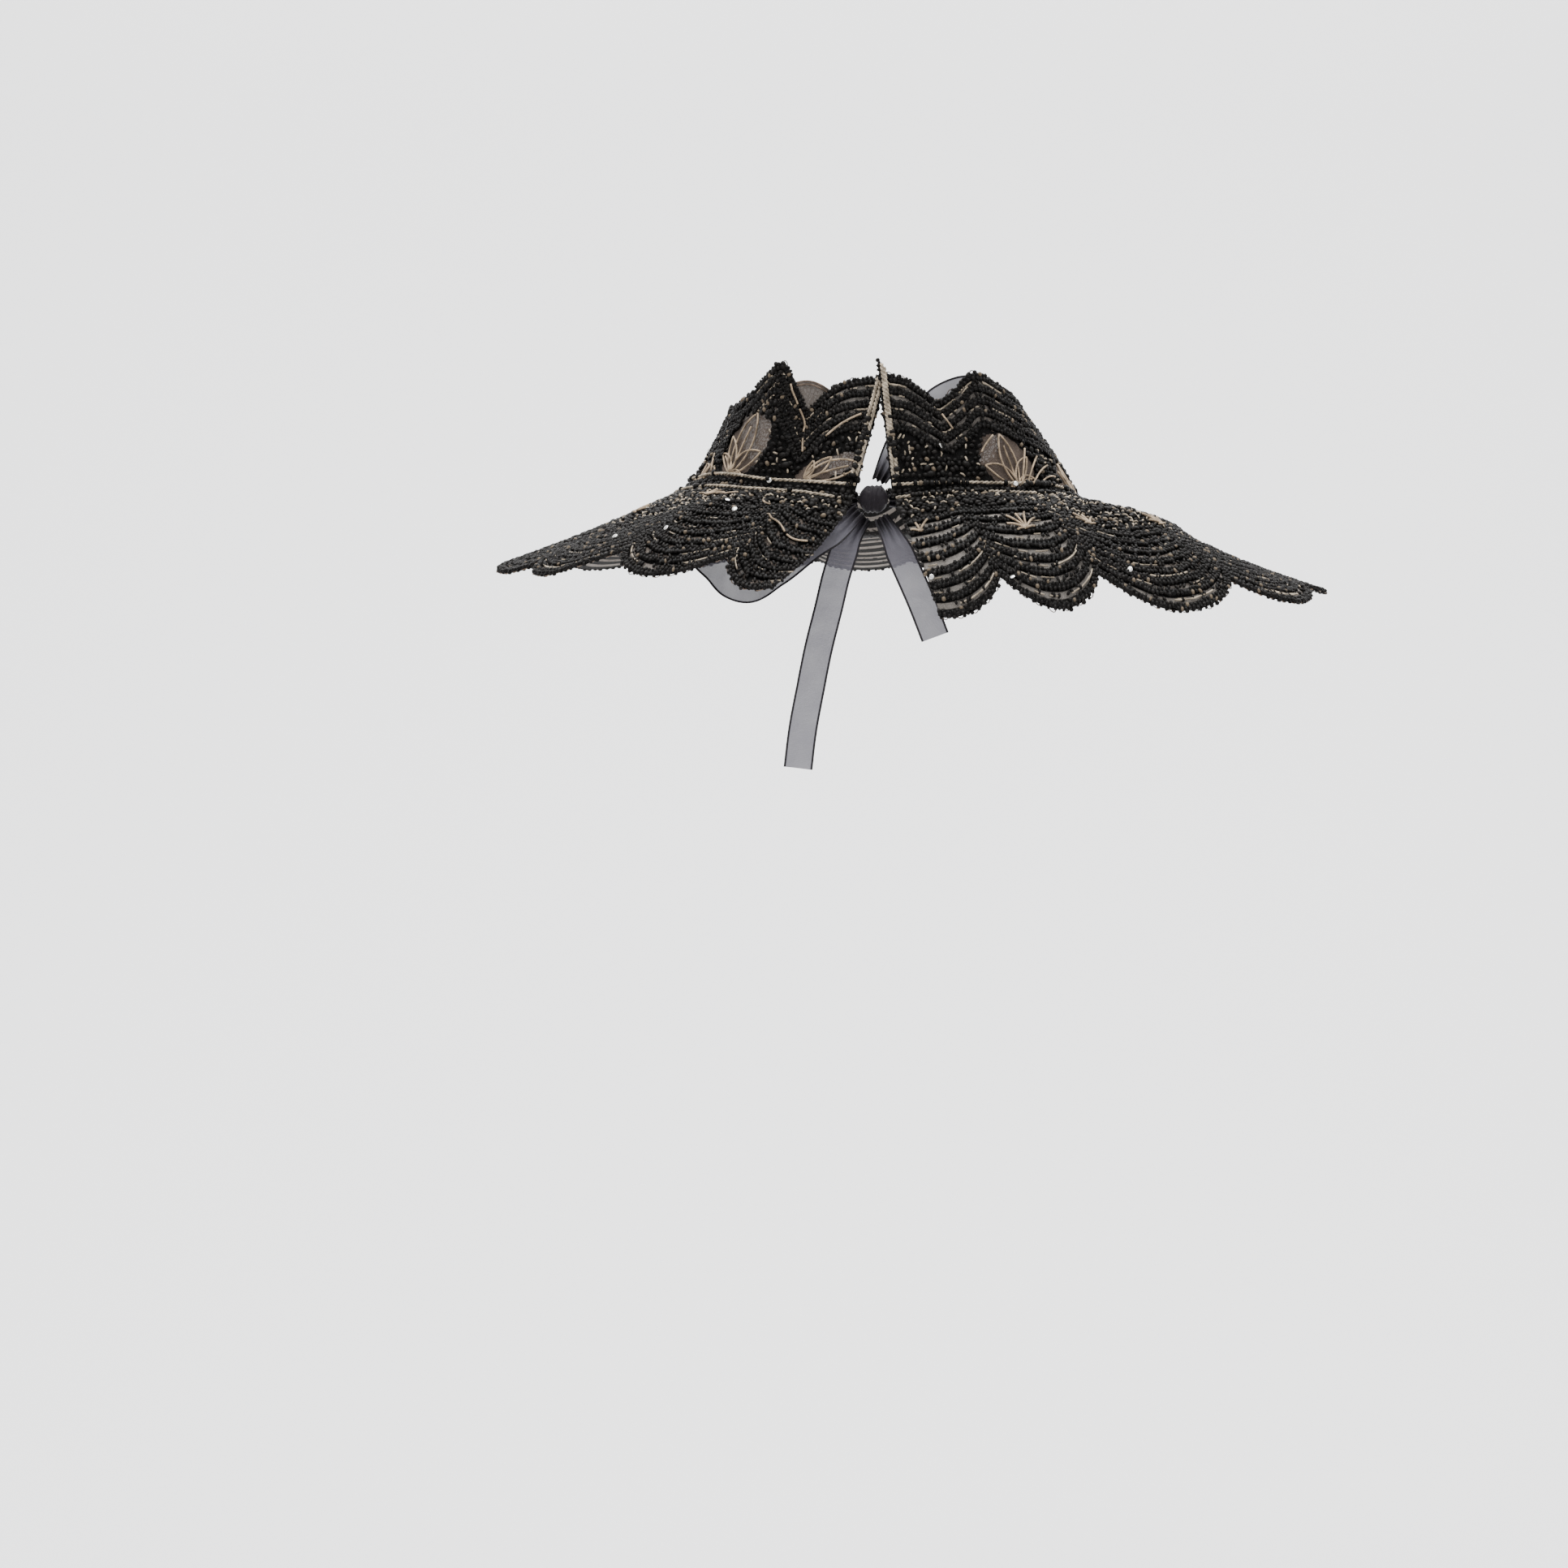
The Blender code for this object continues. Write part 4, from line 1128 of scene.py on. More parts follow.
@dataclass
class BeadRows:
    """Rows of black beads on flat black cords, bridged here and there by knots and tan stitches."""
    form: CollarForm
    panel: Panel
    spacing: float = 1.6
    beside: float = 0.72
    cord_half_width: float = 1.25
    cord_step: float = 1.6
    cord_sides: int = 6
    cord_flatness: float = 0.40
    bridge_spacing: float = 1.75
    bridge_share: float = 0.58
    bridge_lift: float = 0.2
    cord_lift: float = 0.1
    bead_lift: float = 0.45
    stitch_lift: float = 0.25
    bead_size: Triple = (0.80, 0.98, 0.74)
    bridge_size: Triple = (1.45, 0.62, 0.6)
    tan_share: float = 0.11
    stitch_radius: float = 0.30
    gap_cord_radius: float = 0.36
    gap_cord_rows: tuple[int, ...] = (0, 2)
    gap_cord_place: float = 0.47
    seed: int = 7

    def build(self, beads: Shape, glass: bpy.types.Material, cord: bpy.types.Material,
              tan: bpy.types.Material) -> list[bpy.types.Object]:
        """The rows' cords and beads, the bridges between them, and the tan threads in the gaps.

        Args:
            beads: the shape of one bead.
            glass: the beads' finish.
            cord: the flat cords' finish.
            tan: the tan thread's finish.

        Returns:
            The four pieces.
        """
        plan = RowPlan(self.form, self.panel)
        rng = np.random.default_rng(self.seed)
        cords, strung, bridges, threads = [], [], [], []
        for row in range(plan.count):
            line = self.wandering(plan.line(row), rng)
            fine = self.form.spaced(self.panel, line, self.cord_step)
            for run in plan.runs(fine, plan.kept(fine, line)):
                lift = self.form.wall + self.cord_lift
                point, _, normal = self.form.frame(self.panel, run, line(run), lift)
                uneven = 1.0 + 0.14 * np.sin(run * 1.7 + row) + rng.normal(0.0, 0.13, len(run))
                wide = self.cord_half_width * uneven
                cords.append(tube(point, normal, wide, self.cord_sides, self.cord_flatness))
            strung += [self.row_of_beads(plan, line, side * self.beside, beads, rng) for side in (-1.0, 1.0)]
            if row < plan.count - 1:
                gap = plan.line(row + 0.5)
                bridges.append(self.bridges(plan, gap, row, beads, rng))
                threads += self.dashes(plan, gap, rng)
                if row in self.gap_cord_rows:
                    threads += self.gap_cords(plan, plan.line(row + self.gap_cord_place), rng)
        label = self.panel.label
        made = [Shape.joined(cords).piece(f"{label}_row_cords", cord),
                Shape.joined(strung).piece(f"{label}_row_beads", glass),
                Shape.joined(bridges).piece(f"{label}_bridge_knots", glass),
                Shape.joined(threads).piece(f"{label}_row_threads", tan)]
        return made

    def wandering(self, line: Line, rng: np.random.Generator) -> Line:
        """A line that strays a little from side to side, as handwork does."""
        phases = rng.uniform(0.0, 2.0 * math.pi, 2)
        return lambda azimuth: (line(azimuth) + 0.20 * np.sin(0.9 * azimuth + phases[0])
                                + 0.16 * np.sin(2.3 * azimuth + phases[1]))

    def row_of_beads(self, plan: RowPlan, line: Line, aside: float, beads: Shape,
                     rng: np.random.Generator) -> Shape:
        """The beads along one side of a row's cord, each a little out of line and askew."""
        azimuth = self.form.spaced(self.panel, line, self.spacing)
        azimuth = azimuth[plan.kept(azimuth, line)]
        count = len(azimuth)
        beside = line(azimuth) + aside + rng.normal(0.0, 0.24, count)
        lift = self.form.wall + self.bead_lift
        point, along, normal = self.form.frame(self.panel, azimuth, beside, lift)
        size = np.array(self.bead_size) * rng.uniform(0.7, 1.3, (count, 3))
        askew = along + 0.3 * rng.normal(0.0, 1.0, (count, 1)) * np.cross(normal, along)
        return stamped(beads, point, askew, normal, size, rng.random(count))

    def bridges(self, plan: RowPlan, gap: Line, row: int, beads: Shape, rng: np.random.Generator) -> Shape:
        """Black knots across one gap: close together where the lace is dense, and few where it is open."""
        azimuth = self.form.spaced(self.panel, gap, self.bridge_spacing)
        azimuth = azimuth + rng.normal(0.0, 0.12, len(azimuth))
        open_share = plan.openness(azimuth, min(1.0, row / 2.0))
        keep = rng.random(len(azimuth)) > open_share * (1.0 - self.bridge_share) + 0.30 * open_share
        azimuth = azimuth[keep & plan.kept(azimuth, gap)]
        count = len(azimuth)
        from_edge = gap(azimuth) + rng.normal(0.0, 0.3, count)
        lift = self.form.wall + self.bridge_lift
        point, along, normal = self.form.frame(self.panel, azimuth, from_edge, lift)
        across = np.cross(normal, along)
        slant = rng.normal(0.0, 0.45, count)[:, None]
        size = np.array(self.bridge_size) * rng.uniform(0.8, 1.2, (count, 3))
        return stamped(beads, point, across + slant * along, normal, size, rng.random(count) * 0.9)

    def dashes(self, plan: RowPlan, gap: Line, rng: np.random.Generator) -> list[Shape]:
        """Short tan stitches in one gap."""
        azimuth = self.form.spaced(self.panel, gap, self.bridge_spacing)
        chosen = (rng.random(len(azimuth)) < self.tan_share) & plan.kept(azimuth, gap)
        made = []
        for place in azimuth[chosen]:
            turn = np.linspace(-0.5, 0.5, 4) * rng.uniform(1.2, 2.6)
            where = place + turn
            from_edge = gap(where) + rng.normal(0.0, 0.4)
            lift = self.form.wall + self.stitch_lift
            point, _, normal = self.form.frame(self.panel, where, from_edge, lift)
            made.append(tube(point, normal, self.stitch_radius, 4))
        return made

    def gap_cords(self, plan: RowPlan, gap: Line, rng: np.random.Generator) -> list[Shape]:
        """A thin tan cord that shows along one gap and sinks under the rows from place to place."""
        fine = self.form.spaced(self.panel, gap, self.cord_step)
        phases = rng.uniform(0.0, 2.0 * math.pi, 2)
        shows = np.sin(0.35 * fine + phases[0]) + 0.5 * np.sin(1.1 * fine + phases[1]) > 0.15
        made = []
        for run in plan.runs(fine, shows & plan.kept(fine, gap)):
            lift = self.form.wall + self.bridge_lift
            point, _, normal = self.form.frame(self.panel, run, gap(run), lift)
            made.append(tube(point, normal, self.gap_cord_radius, 5))
        return made


@dataclass
class Edging:
    """A panel's free edge: small black knots, and little loops of brown thread among them."""
    form: CollarForm
    panel: Panel
    spacing: float = 2.7
    knot_size: Triple = (0.95, 0.85, 0.8)
    loop_every: int = 2
    loop_radius: float = 0.19
    seed: int = 11

    def build(self, beads: Shape, glass: bpy.types.Material,
              thread: bpy.types.Material) -> list[bpy.types.Object]:
        """The edge knots and the loops.

        Args:
            beads: the shape of one bead.
            glass: the knots' finish.
            thread: the loops' finish.

        Returns:
            The two pieces.
        """
        rng = np.random.default_rng(self.seed)
        azimuth = self.form.spaced(self.panel, self.form.by_edge(0.0), self.spacing)
        count = len(azimuth)
        outside = rng.normal(-0.15, 0.22, count)
        point, along, normal = self.form.frame(self.panel, azimuth, outside, self.form.wall - 0.3)
        size = np.array(self.knot_size) * rng.uniform(0.7, 1.25, (count, 1))
        strung = stamped(beads, point, along, normal, size, rng.random(count) * 0.9)
        middles = (azimuth[1:] + azimuth[:-1])[::self.loop_every] / 2.0
        loops = [self.loop(place, rng.uniform(0.7, 1.4)) for place in middles]
        label = self.panel.label
        made = [strung.piece(f"{label}_edge_knots", glass),
                Shape.joined(loops).piece(f"{label}_edge_loops", thread)]
        return made

    def loop(self, azimuth: float, size: float) -> Shape:
        """One half-round loop of thread that stands out from the edge."""
        turn = np.linspace(0.0, math.pi, 7)
        ends = self.form.frame(self.panel, np.array([azimuth - 0.5, azimuth + 0.5]), 0.0, 0.8)[0]
        per_degree = max(float(np.linalg.norm(ends[1] - ends[0])), 0.5)
        where = azimuth + np.cos(turn) * size / per_degree
        point, _, normal = self.form.frame(self.panel, where, 0.3 - np.sin(turn) * size * 1.1, 0.9)
        return tube(point, normal, self.loop_radius, 4)


class TanRun(NamedTuple):
    """A short run of tan cord between two places, each by azimuth and distance from the fold line."""
    panel: Panel
    from_azimuth: float
    from_fold: float
    to_azimuth: float
    to_fold: float
    sag: float


TAN_RUNS = (
    TanRun(Panel.STAND, 325.6, 38.0, 329.0, 31.5, 0.4),
    TanRun(Panel.STAND, 329.6, 30.0, 333.2, 22.5, 0.3),
    TanRun(Panel.STAND, 333.6, 20.0, 334.4, 15.0, 0.2),
    TanRun(Panel.STAND, 341.0, 21.0, 349.5, 30.0, 0.8),
    TanRun(Panel.STAND, 28.4, 30.0, 30.4, 24.0, 0.5),
    TanRun(Panel.STAND, 36.8, 15.0, 41.0, 21.0, 0.6),
    TanRun(Panel.STAND, 48.5, 4.0, 52.5, 17.0, 0.3),
    TanRun(Panel.STAND, 50.5, 4.0, 57.0, 14.5, 0.8),
    TanRun(Panel.STAND, 52.5, 3.8, 61.0, 11.5, 1.2),
    TanRun(Panel.STAND, 55.0, 3.6, 63.5, 7.5, 1.2),
    TanRun(Panel.STAND, 295.0, 13.0, 299.0, 5.0, 1.2),
    TanRun(Panel.STAND, 300.5, 6.5, 303.6, 4.0, -1.4),
    TanRun(Panel.FLANGE, 339.6, 26.0, 345.0, 31.5, -0.8),
    TanRun(Panel.FLANGE, 345.8, 32.4, 350.5, 32.4, 1.0),
    TanRun(Panel.FLANGE, 333.5, 20.0, 337.0, 21.5, 0.6),
    TanRun(Panel.FLANGE, 315.0, 13.5, 322.0, 12.5, -0.5),
)


@dataclass
class CordedLeaves:
    """Fans of leaves in tan cord, and short runs of the same cord along folds and curves."""
    form: CollarForm
    radius: float = 0.36
    stroke: float = 0.42
    on_net: float = 1.5
    on_beads: float = 2.25
    leaf_width: float = 0.17
    short_leaf: float = 0.86
    points: int = 15

    def build(self, panel: Panel, finish: bpy.types.Material) -> bpy.types.Object:
        """Every spray and run of one panel."""
        lines = [line for spray in SPRAYS if spray.panel is panel for line in self.spray_lines(spray)]
        lines += [self.run_line(run) for run in TAN_RUNS if run.panel is panel]
        made = Shape.joined(lines).piece(f"{panel.label}_leaf_cords", finish)
        return made

    def run_line(self, run: TanRun) -> Shape:
        """One short run of cord, bent a little sideways."""
        t = np.linspace(0.0, 1.0, self.points)
        azimuth = run.from_azimuth + (run.to_azimuth - run.from_azimuth) * t
        from_fold = run.from_fold + (run.to_fold - run.from_fold) * t + run.sag * np.sin(math.pi * t)
        from_edge = self.form.depth(run.panel, azimuth) - from_fold
        point, _, normal = self.form.frame(run.panel, azimuth, from_edge, self.on_beads)
        return tube(point, normal, self.radius, 5)

    def spray_lines(self, spray: Spray) -> list[Shape]:
        """The cords of one spray: outlined leaves on the stand, and single strokes on the flange."""
        place = SprayPlace(self.form, spray)
        made = []
        for leaf in range(spray.leaves):
            turned = (leaf / (spray.leaves - 1) - 0.5) * 2.0
            angle = math.radians(spray.spread * turned + spray.lean)
            bend = math.radians(0.35 * spray.spread) * turned
            length = place.reach(angle + 0.5 * bend) * (1.0 if leaf % 2 == 0 else self.short_leaf)
            outlined = spray.panel is Panel.STAND
            sides = ((-1.0, 1.0) if leaf % 2 else (-1.0, 0.0, 1.0)) if outlined else (0.0,)
            for side in sides:
                t = np.linspace(0.02, 1.0 if side else 0.78, self.points)
                widening = side * self.leaf_width * length * np.sin(math.pi * t) ** 0.8
                way = angle + bend * t * t
                x = np.sin(way) * length * t + np.cos(way) * widening
                y = np.cos(way) * length * t - np.sin(way) * widening
                point, normal = place.surface(x, y, self.on_net if outlined else self.on_beads)
                made.append(tube(point, normal, self.radius if outlined else self.stroke, 5))
        return made


@dataclass
class Filling:
    """Scattered black beads and short tan stitches that fill the ground between rows and leaves."""
    form: CollarForm
    panel: Panel
    spacing: float = 2.25
    near_fold: float = 1.3
    cord_place: float = 4.2
    cord_room: float = 1.5
    stitch_share: float = 0.22
    stitch_radius: float = 0.32
    stitch_rise: float = 0.5
    bead_size: Triple = (0.95, 1.1, 0.75)
    big_share: float = 0.10
    big_scale: float = 1.45
    lift: float = 0.2
    seed: int = 23

    def build(self, beads: Shape, glass: bpy.types.Material,
              thread: bpy.types.Material) -> list[bpy.types.Object]:
        """The scattered beads and stitches of one panel.

        Args:
            beads: the shape of one bead.
            glass: the beads' finish.
            thread: the stitches' finish.

        Returns:
            The two pieces.
        """
        rng = np.random.default_rng(self.seed)
        azimuth, from_fold = self.scattered(rng)
        from_edge = self.form.depth(self.panel, azimuth) - from_fold
        count = len(azimuth)
        point, along, normal = self.form.frame(self.panel, azimuth, from_edge, self.form.wall + self.lift)
        across = np.cross(normal, along)
        angle = rng.uniform(0.0, math.pi, count)[:, None]
        way = along * np.cos(angle) + across * np.sin(angle)
        stitched = (rng.random(count) < self.stitch_share) & (from_fold > self.cord_place)
        size = np.array(self.bead_size) * rng.uniform(0.8, 1.3, (count, 1))
        size *= np.where(rng.random((count, 1)) < self.big_share, self.big_scale, 1.0)
        scattered = stamped(beads, point[~stitched], way[~stitched], normal[~stitched], size[~stitched],
                            rng.random(count)[~stitched])
        half = rng.uniform(0.4, 1.2, count)[:, None] * way
        stitches = [tube(np.stack([p - h, p + n * self.stitch_rise, p + h]), np.stack([n, n, n]),
                         self.stitch_radius, 4)
                    for p, h, n in zip(point[stitched], half[stitched], normal[stitched])]
        label = self.panel.label
        made = [scattered.piece(f"{label}_scattered_beads", glass),
                Shape.joined(stitches).piece(f"{label}_stitches", thread)]
        return made

    def scattered(self, rng: np.random.Generator) -> tuple[Array, Array]:
        """Jittered places between the last row and the neckline cords, off the bare patches."""
        plan = RowPlan(self.form, self.panel)
        last_row = plan.line(plan.count - 0.45)
        everywhere = np.linspace(FIRST, LAST, 300)
        deepest = float((self.form.depth(self.panel, everywhere) - last_row(everywhere)).max())
        azimuths, distances = [], []
        for step, distance in enumerate(np.arange(self.near_fold, deepest, self.spacing * 0.87)):
            line = self.form.spaced(self.panel, self.form.by_fold(self.panel, float(distance)), self.spacing)
            shift = (line[1] - line[0]) * (0.5 * (step % 2) + rng.normal(0.0, 0.16, len(line)))
            azimuths.append(np.clip(line + shift, FIRST + 0.3, LAST - 0.3))
            distances.append(distance + rng.normal(0.0, 0.3, len(line)))
        azimuth, from_fold = np.concatenate(azimuths), np.concatenate(distances)
        keep = self.form.depth(self.panel, azimuth) - from_fold > last_row(azimuth)
        keep &= np.abs(from_fold - self.cord_place) > self.cord_room
        keep &= bare_patch(self.form, self.panel, azimuth, from_fold) < 0.04
        return azimuth[keep], from_fold[keep]


class SequinPlace(NamedTuple):
    """A place where a bright sequin is sewn."""
    panel: Panel
    azimuth: float
    from_fold: float


SEQUINS = (
    SequinPlace(Panel.STAND, 324.5, 3.5),
    SequinPlace(Panel.STAND, 23.0, 17.5),
    SequinPlace(Panel.STAND, 46.0, 3.8),
    SequinPlace(Panel.FLANGE, 6.5, 42.5),
    SequinPlace(Panel.FLANGE, 20.6, 51.0),
    SequinPlace(Panel.FLANGE, 43.5, 57.0),
    SequinPlace(Panel.FLANGE, 331.0, 29.0),
    SequinPlace(Panel.FLANGE, 326.0, 24.0),
    SequinPlace(Panel.FLANGE, 322.0, 41.0),
    SequinPlace(Panel.FLANGE, 309.0, 46.0),
    SequinPlace(Panel.FLANGE, 70.0, 52.0),
    SequinPlace(Panel.FLANGE, 96.0, 46.0),
    SequinPlace(Panel.FLANGE, 128.0, 38.0),
    SequinPlace(Panel.FLANGE, 163.0, 34.0),
    SequinPlace(Panel.FLANGE, 205.0, 36.0),
    SequinPlace(Panel.FLANGE, 243.0, 38.0),
    SequinPlace(Panel.FLANGE, 281.0, 40.0),
    SequinPlace(Panel.STAND, 80.0, 18.0),
    SequinPlace(Panel.STAND, 268.0, 17.0),
)


@dataclass
class Sequins:
    """A few small bright discs, each held down by a stitch."""
    form: CollarForm
    radius: float = 1.05
    thickness: float = 0.16
    tilt: float = 0.35
    lift: float = 1.1

    def build(self, disc: Shape, finish: bpy.types.Material) -> bpy.types.Object:
        """Every sequin, each tilted its own way."""
        rng = np.random.default_rng(5)
        points, ways, normals = [], [], []
        for place in SEQUINS:
            azimuth = np.array([place.azimuth])
            from_edge = self.form.depth(place.panel, azimuth) - place.from_fold
            lift = self.form.wall + self.lift
            point, along, normal = self.form.frame(place.panel, azimuth, from_edge, lift)
            points.append(point[0])
            ways.append(along[0])
            normals.append(unit(normal[0] + rng.normal(0.0, self.tilt, 3)))
        size = np.tile([self.thickness, self.radius, self.radius], (len(points), 1))
        made = stamped(disc, np.array(points), np.array(normals), np.array(ways), size,
                       rng.random(len(points))).piece("sequins", finish)
        return made


@dataclass
class NotchNet:
    """A little arch of bare net across the deep notch left of the back opening, with a doubled edge."""
    form: CollarForm
    left: tuple[float, float] = (327.3, 332.9)
    right: tuple[float, float] = (340.0, 333.4)
    rise: float = 2.2
    cut_depth: float = 10.0
    steps: int = 14
    thread_radius: float = 0.34
    threads_apart: float = 1.1
    lit_paleness: float = 0.35
    map_size: float = 0.12

    def build(self, net: bpy.types.Material, thread: bpy.types.Material) -> list[bpy.types.Object]:
        """The arch and its edge threads."""
        down = np.linspace(0.0, 1.0, self.steps)
        places = [ends[0] + (ends[1] - ends[0]) * down for ends in (self.left, self.right)]
        sides = [self.form.frame(Panel.STAND, place, 1.0, self.form.wall / 2.0)[0] for place in places]
        across = np.linspace(0.0, 1.0, self.steps)
        points = sides[0][:, None] + (sides[1] - sides[0])[:, None] * across[None, :, None]
        points[..., 2] += self.rise * np.sin(math.pi * across)[None, :] * (1.0 - down)[:, None]
        flat = np.stack(np.meshgrid(down, across, indexing="ij"), axis=-1).reshape(-1, 2) * self.map_size
        plain = np.zeros(points.size // 3)
        shape = Shape(points.reshape(-1, 3), [grid_faces(self.steps, self.steps)],
                      # The bare arch is painted pale: painted light that shows through the net.
                      {"dense": plain, "pale": plain + self.lit_paleness}, flat)
        sheet = shape.piece("notch_net", net)
        outwards = np.broadcast_to(np.array([0.0, -1.0, 0.0]), (self.steps, 3))
        threads = [tube(points[0] - np.array([0.0, 0.0, drop]), outwards, self.thread_radius, 6)
                   for drop in (0.0, self.threads_apart)]
        edge = Shape.joined(threads).piece("notch_net_edge", thread)
        return [sheet, edge]


class Wrapped(NamedTuple):
    """How much of a neckline cord is bound over with black knots, from 0 to 1."""
    azimuth: float
    share: float


WRAPPED = (
    Wrapped(5.5, 0.55),
    Wrapped(14.0, 0.75),
    Wrapped(40.0, 0.65),
    Wrapped(60.0, 0.45),
    Wrapped(120.0, 0.30),
    Wrapped(290.0, 0.30),
    Wrapped(305.0, 0.08),
    Wrapped(342.0, 0.12),
    Wrapped(353.0, 0.70),
)


WRAP_SIZE = (1.15, 1.35, 1.05)
WRAP_LIFT = 0.4


def wrap_knots(point: Array, normal: Array, share: Array, beads: Shape, rng: np.random.Generator) -> Shape:
    """Black knots bound over a cord in uneven clumps, at a share of the places along it."""
    order = np.arange(len(point))
    clump = 0.5 + 0.5 * np.sin(order / 3.1 + 1.7 * np.sin(order / 7.3))
    chosen = 0.5 * clump + 0.5 * rng.random(len(point)) < share
    count = int(chosen.sum())
    along, up = unit(np.gradient(point, axis=0))[chosen], normal[chosen]
    astray = along * rng.uniform(-0.7, 0.7, (count, 1))
    astray += np.cross(along, up) * rng.normal(0.0, 0.28, (count, 1))
    size = np.array(WRAP_SIZE) * rng.uniform(0.75, 1.3, (count, 3))
    return stamped(beads, point[chosen] + WRAP_LIFT * up + astray, along, up, size, rng.random(count))


@dataclass
class NecklineCords:
    """Two twisted tan cords along the fold line, one on each panel, bound over here and there with black."""
    form: CollarForm
    radius: float = 0.62
    from_fold: float = 4.2
    pitch: float = 3.6
    step: float = 0.5
    end_turn: float = 0.5
    knot_every: int = 3

    def build(self, finish: bpy.types.Material, beads: Shape,
              glass: bpy.types.Material) -> list[bpy.types.Object]:
        """Both cords, and the black knots over them.

        Args:
            finish: the cords' finish.
            beads: the shape of one knot.
            glass: the knots' finish.

        Returns:
            The three pieces.
        """
        rng = np.random.default_rng(31)
        made, knots = [], []
        for panel, name in ((Panel.STAND, "neckline_cord_upper"), (Panel.FLANGE, "neckline_cord_lower")):
            line = self.form.by_fold(panel, self.from_fold)
            azimuth = self.form.spaced(panel, line, self.step, FIRST + self.end_turn, LAST - self.end_turn)
            point, _, normal = self.form.frame(panel, azimuth, line(azimuth), self.form.wall + self.radius)
            piece = twisted(point, normal, self.radius, self.pitch).piece(f"{name}_twisted", finish)
            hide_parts(name)
            made.append(piece)
            places = slice(0, None, self.knot_every)
            share = np.interp(azimuth[places], *np.transpose(WRAPPED))
            knots.append(wrap_knots(point[places], normal[places], share, beads, rng))
        made.append(Shape.joined(knots).piece("neckline_wraps", glass))
        return made


@dataclass
class OpeningBindings:
    """A doubled tan cord bound over each upright edge of the back opening, with black knots over its foot."""
    form: CollarForm
    radius: float = 0.72
    apart: float = 1.5
    foot: float = 0.16
    head: float = 0.985
    pitch: float = 3.0
    points: int = 110
    from_cloth: float = 1.0
    from_edge: float = 0.3
    knot_every: int = 4
    covered: tuple[tuple[float, ...], ...] = ((0.35, 0.2, 0.0), (0.8, 0.55, 0.1))

    def build(self, finish: bpy.types.Material, beads: Shape,
              glass: bpy.types.Material) -> list[bpy.types.Object]:
        """The bindings of both edges, and the black knots over them.

        Args:
            finish: the cords' finish.
            beads: the shape of one knot.
            glass: the knots' finish.

        Returns:
            The three pieces.
        """
        rng = np.random.default_rng(37)
        made, knots = [], []
        edges = (("opening_binding_right", FIRST, 1.0), ("opening_binding_left", LAST, -1.0))
        for name, edge, inwards in edges:
            share = np.linspace(self.foot, self.head, self.points)
            azimuth = np.full(self.points, edge)
            from_edge = self.form.depth(Panel.STAND, azimuth) * (1.0 - share)
            lines = []
            for cord in range(2):
                lift = self.form.wall + self.from_cloth + self.radius
                point, along, normal = self.form.frame(Panel.STAND, azimuth, from_edge, lift)
                point = point + along * inwards * (self.from_edge + self.radius + cord * self.apart)
                lines.append(twisted(point, normal, self.radius, self.pitch))
                places = slice(0, None, self.knot_every)
                covered = np.interp(share[places], [self.foot, 0.5, self.head], self.covered[cord])
                knots.append(wrap_knots(point[places], normal[places], covered, beads, rng))
            piece = Shape.joined(lines).piece(f"{name}_cords", finish)
            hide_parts(name)
            made.append(piece)
        made.append(Shape.joined(knots).piece("binding_wraps", glass))
        return made


class RibbonPoint(NamedTuple):
    """A place on a ribbon's middle line, and the way that its face looks there."""
    x: float
    y: float
    z: float
    face_x: float
    face_y: float
    face_z: float


LOOP_RIGHT = (
    RibbonPoint(1.2, -56.4, 4.7, 0.0, -1.0, 0.1),
    RibbonPoint(6.0, -52.5, 13.4, 0.1, -1.0, 0.15),
    RibbonPoint(14.6, -45.6, 25.7, 0.28, -0.96, 0.15),
    RibbonPoint(23.2, -42.1, 34.5, 0.44, -0.9, 0.05),
    RibbonPoint(31.9, -36.7, 38.1, 0.61, -0.79, 0.0),
    RibbonPoint(39.0, -30.1, 37.3, 0.74, -0.67, 0.0),
    RibbonPoint(40.3, -28.6, 31.0, 0.77, -0.64, 0.0),
    RibbonPoint(36.7, -34.5, 22.2, 0.69, -0.73, 0.1),
    RibbonPoint(27.4, -45.8, 13.0, 0.49, -0.87, 0.15),
    RibbonPoint(15.9, -53.2, 6.0, 0.28, -0.96, 0.1),
    RibbonPoint(7.1, -56.2, 2.6, 0.12, -0.99, 0.1),
)
LOOP_LEFT = (
    RibbonPoint(-5.4, -62.6, -5.6, 0.0, -1.0, 0.2),
    RibbonPoint(-12.3, -65.0, -11.6, 0.0, -1.0, 0.3),
    RibbonPoint(-22.0, -69.5, -18.3, -0.1, -1.0, 0.4),
    RibbonPoint(-34.7, -74.5, -28.5, -0.2, -1.0, 0.45),
    RibbonPoint(-44.0, -77.0, -33.8, -0.3, -1.0, 0.45),
    RibbonPoint(-49.4, -76.5, -32.0, -0.35, -1.0, 0.45),
    RibbonPoint(-54.3, -74.5, -26.7, -0.35, -1.0, 0.45),
    RibbonPoint(-59.0, -71.0, -21.8, -0.4, -1.0, 0.45),
    RibbonPoint(-60.7, -67.0, -17.0, -0.4, -1.0, 0.45),
    RibbonPoint(-56.5, -64.0, -12.8, -0.4, -1.0, 0.45),
    RibbonPoint(-48.5, -62.0, -10.8, -0.35, -1.0, 0.4),
    RibbonPoint(-36.0, -60.2, -9.2, -0.3, -1.0, 0.35),
    RibbonPoint(-22.0, -56.8, -7.6, -0.2, -1.0, 0.3),
    RibbonPoint(-13.0, -55.4, -5.6, -0.15, -1.0, 0.2),
    RibbonPoint(-6.6, -56.2, -3.8, 0.0, -1.0, 0.1),
)
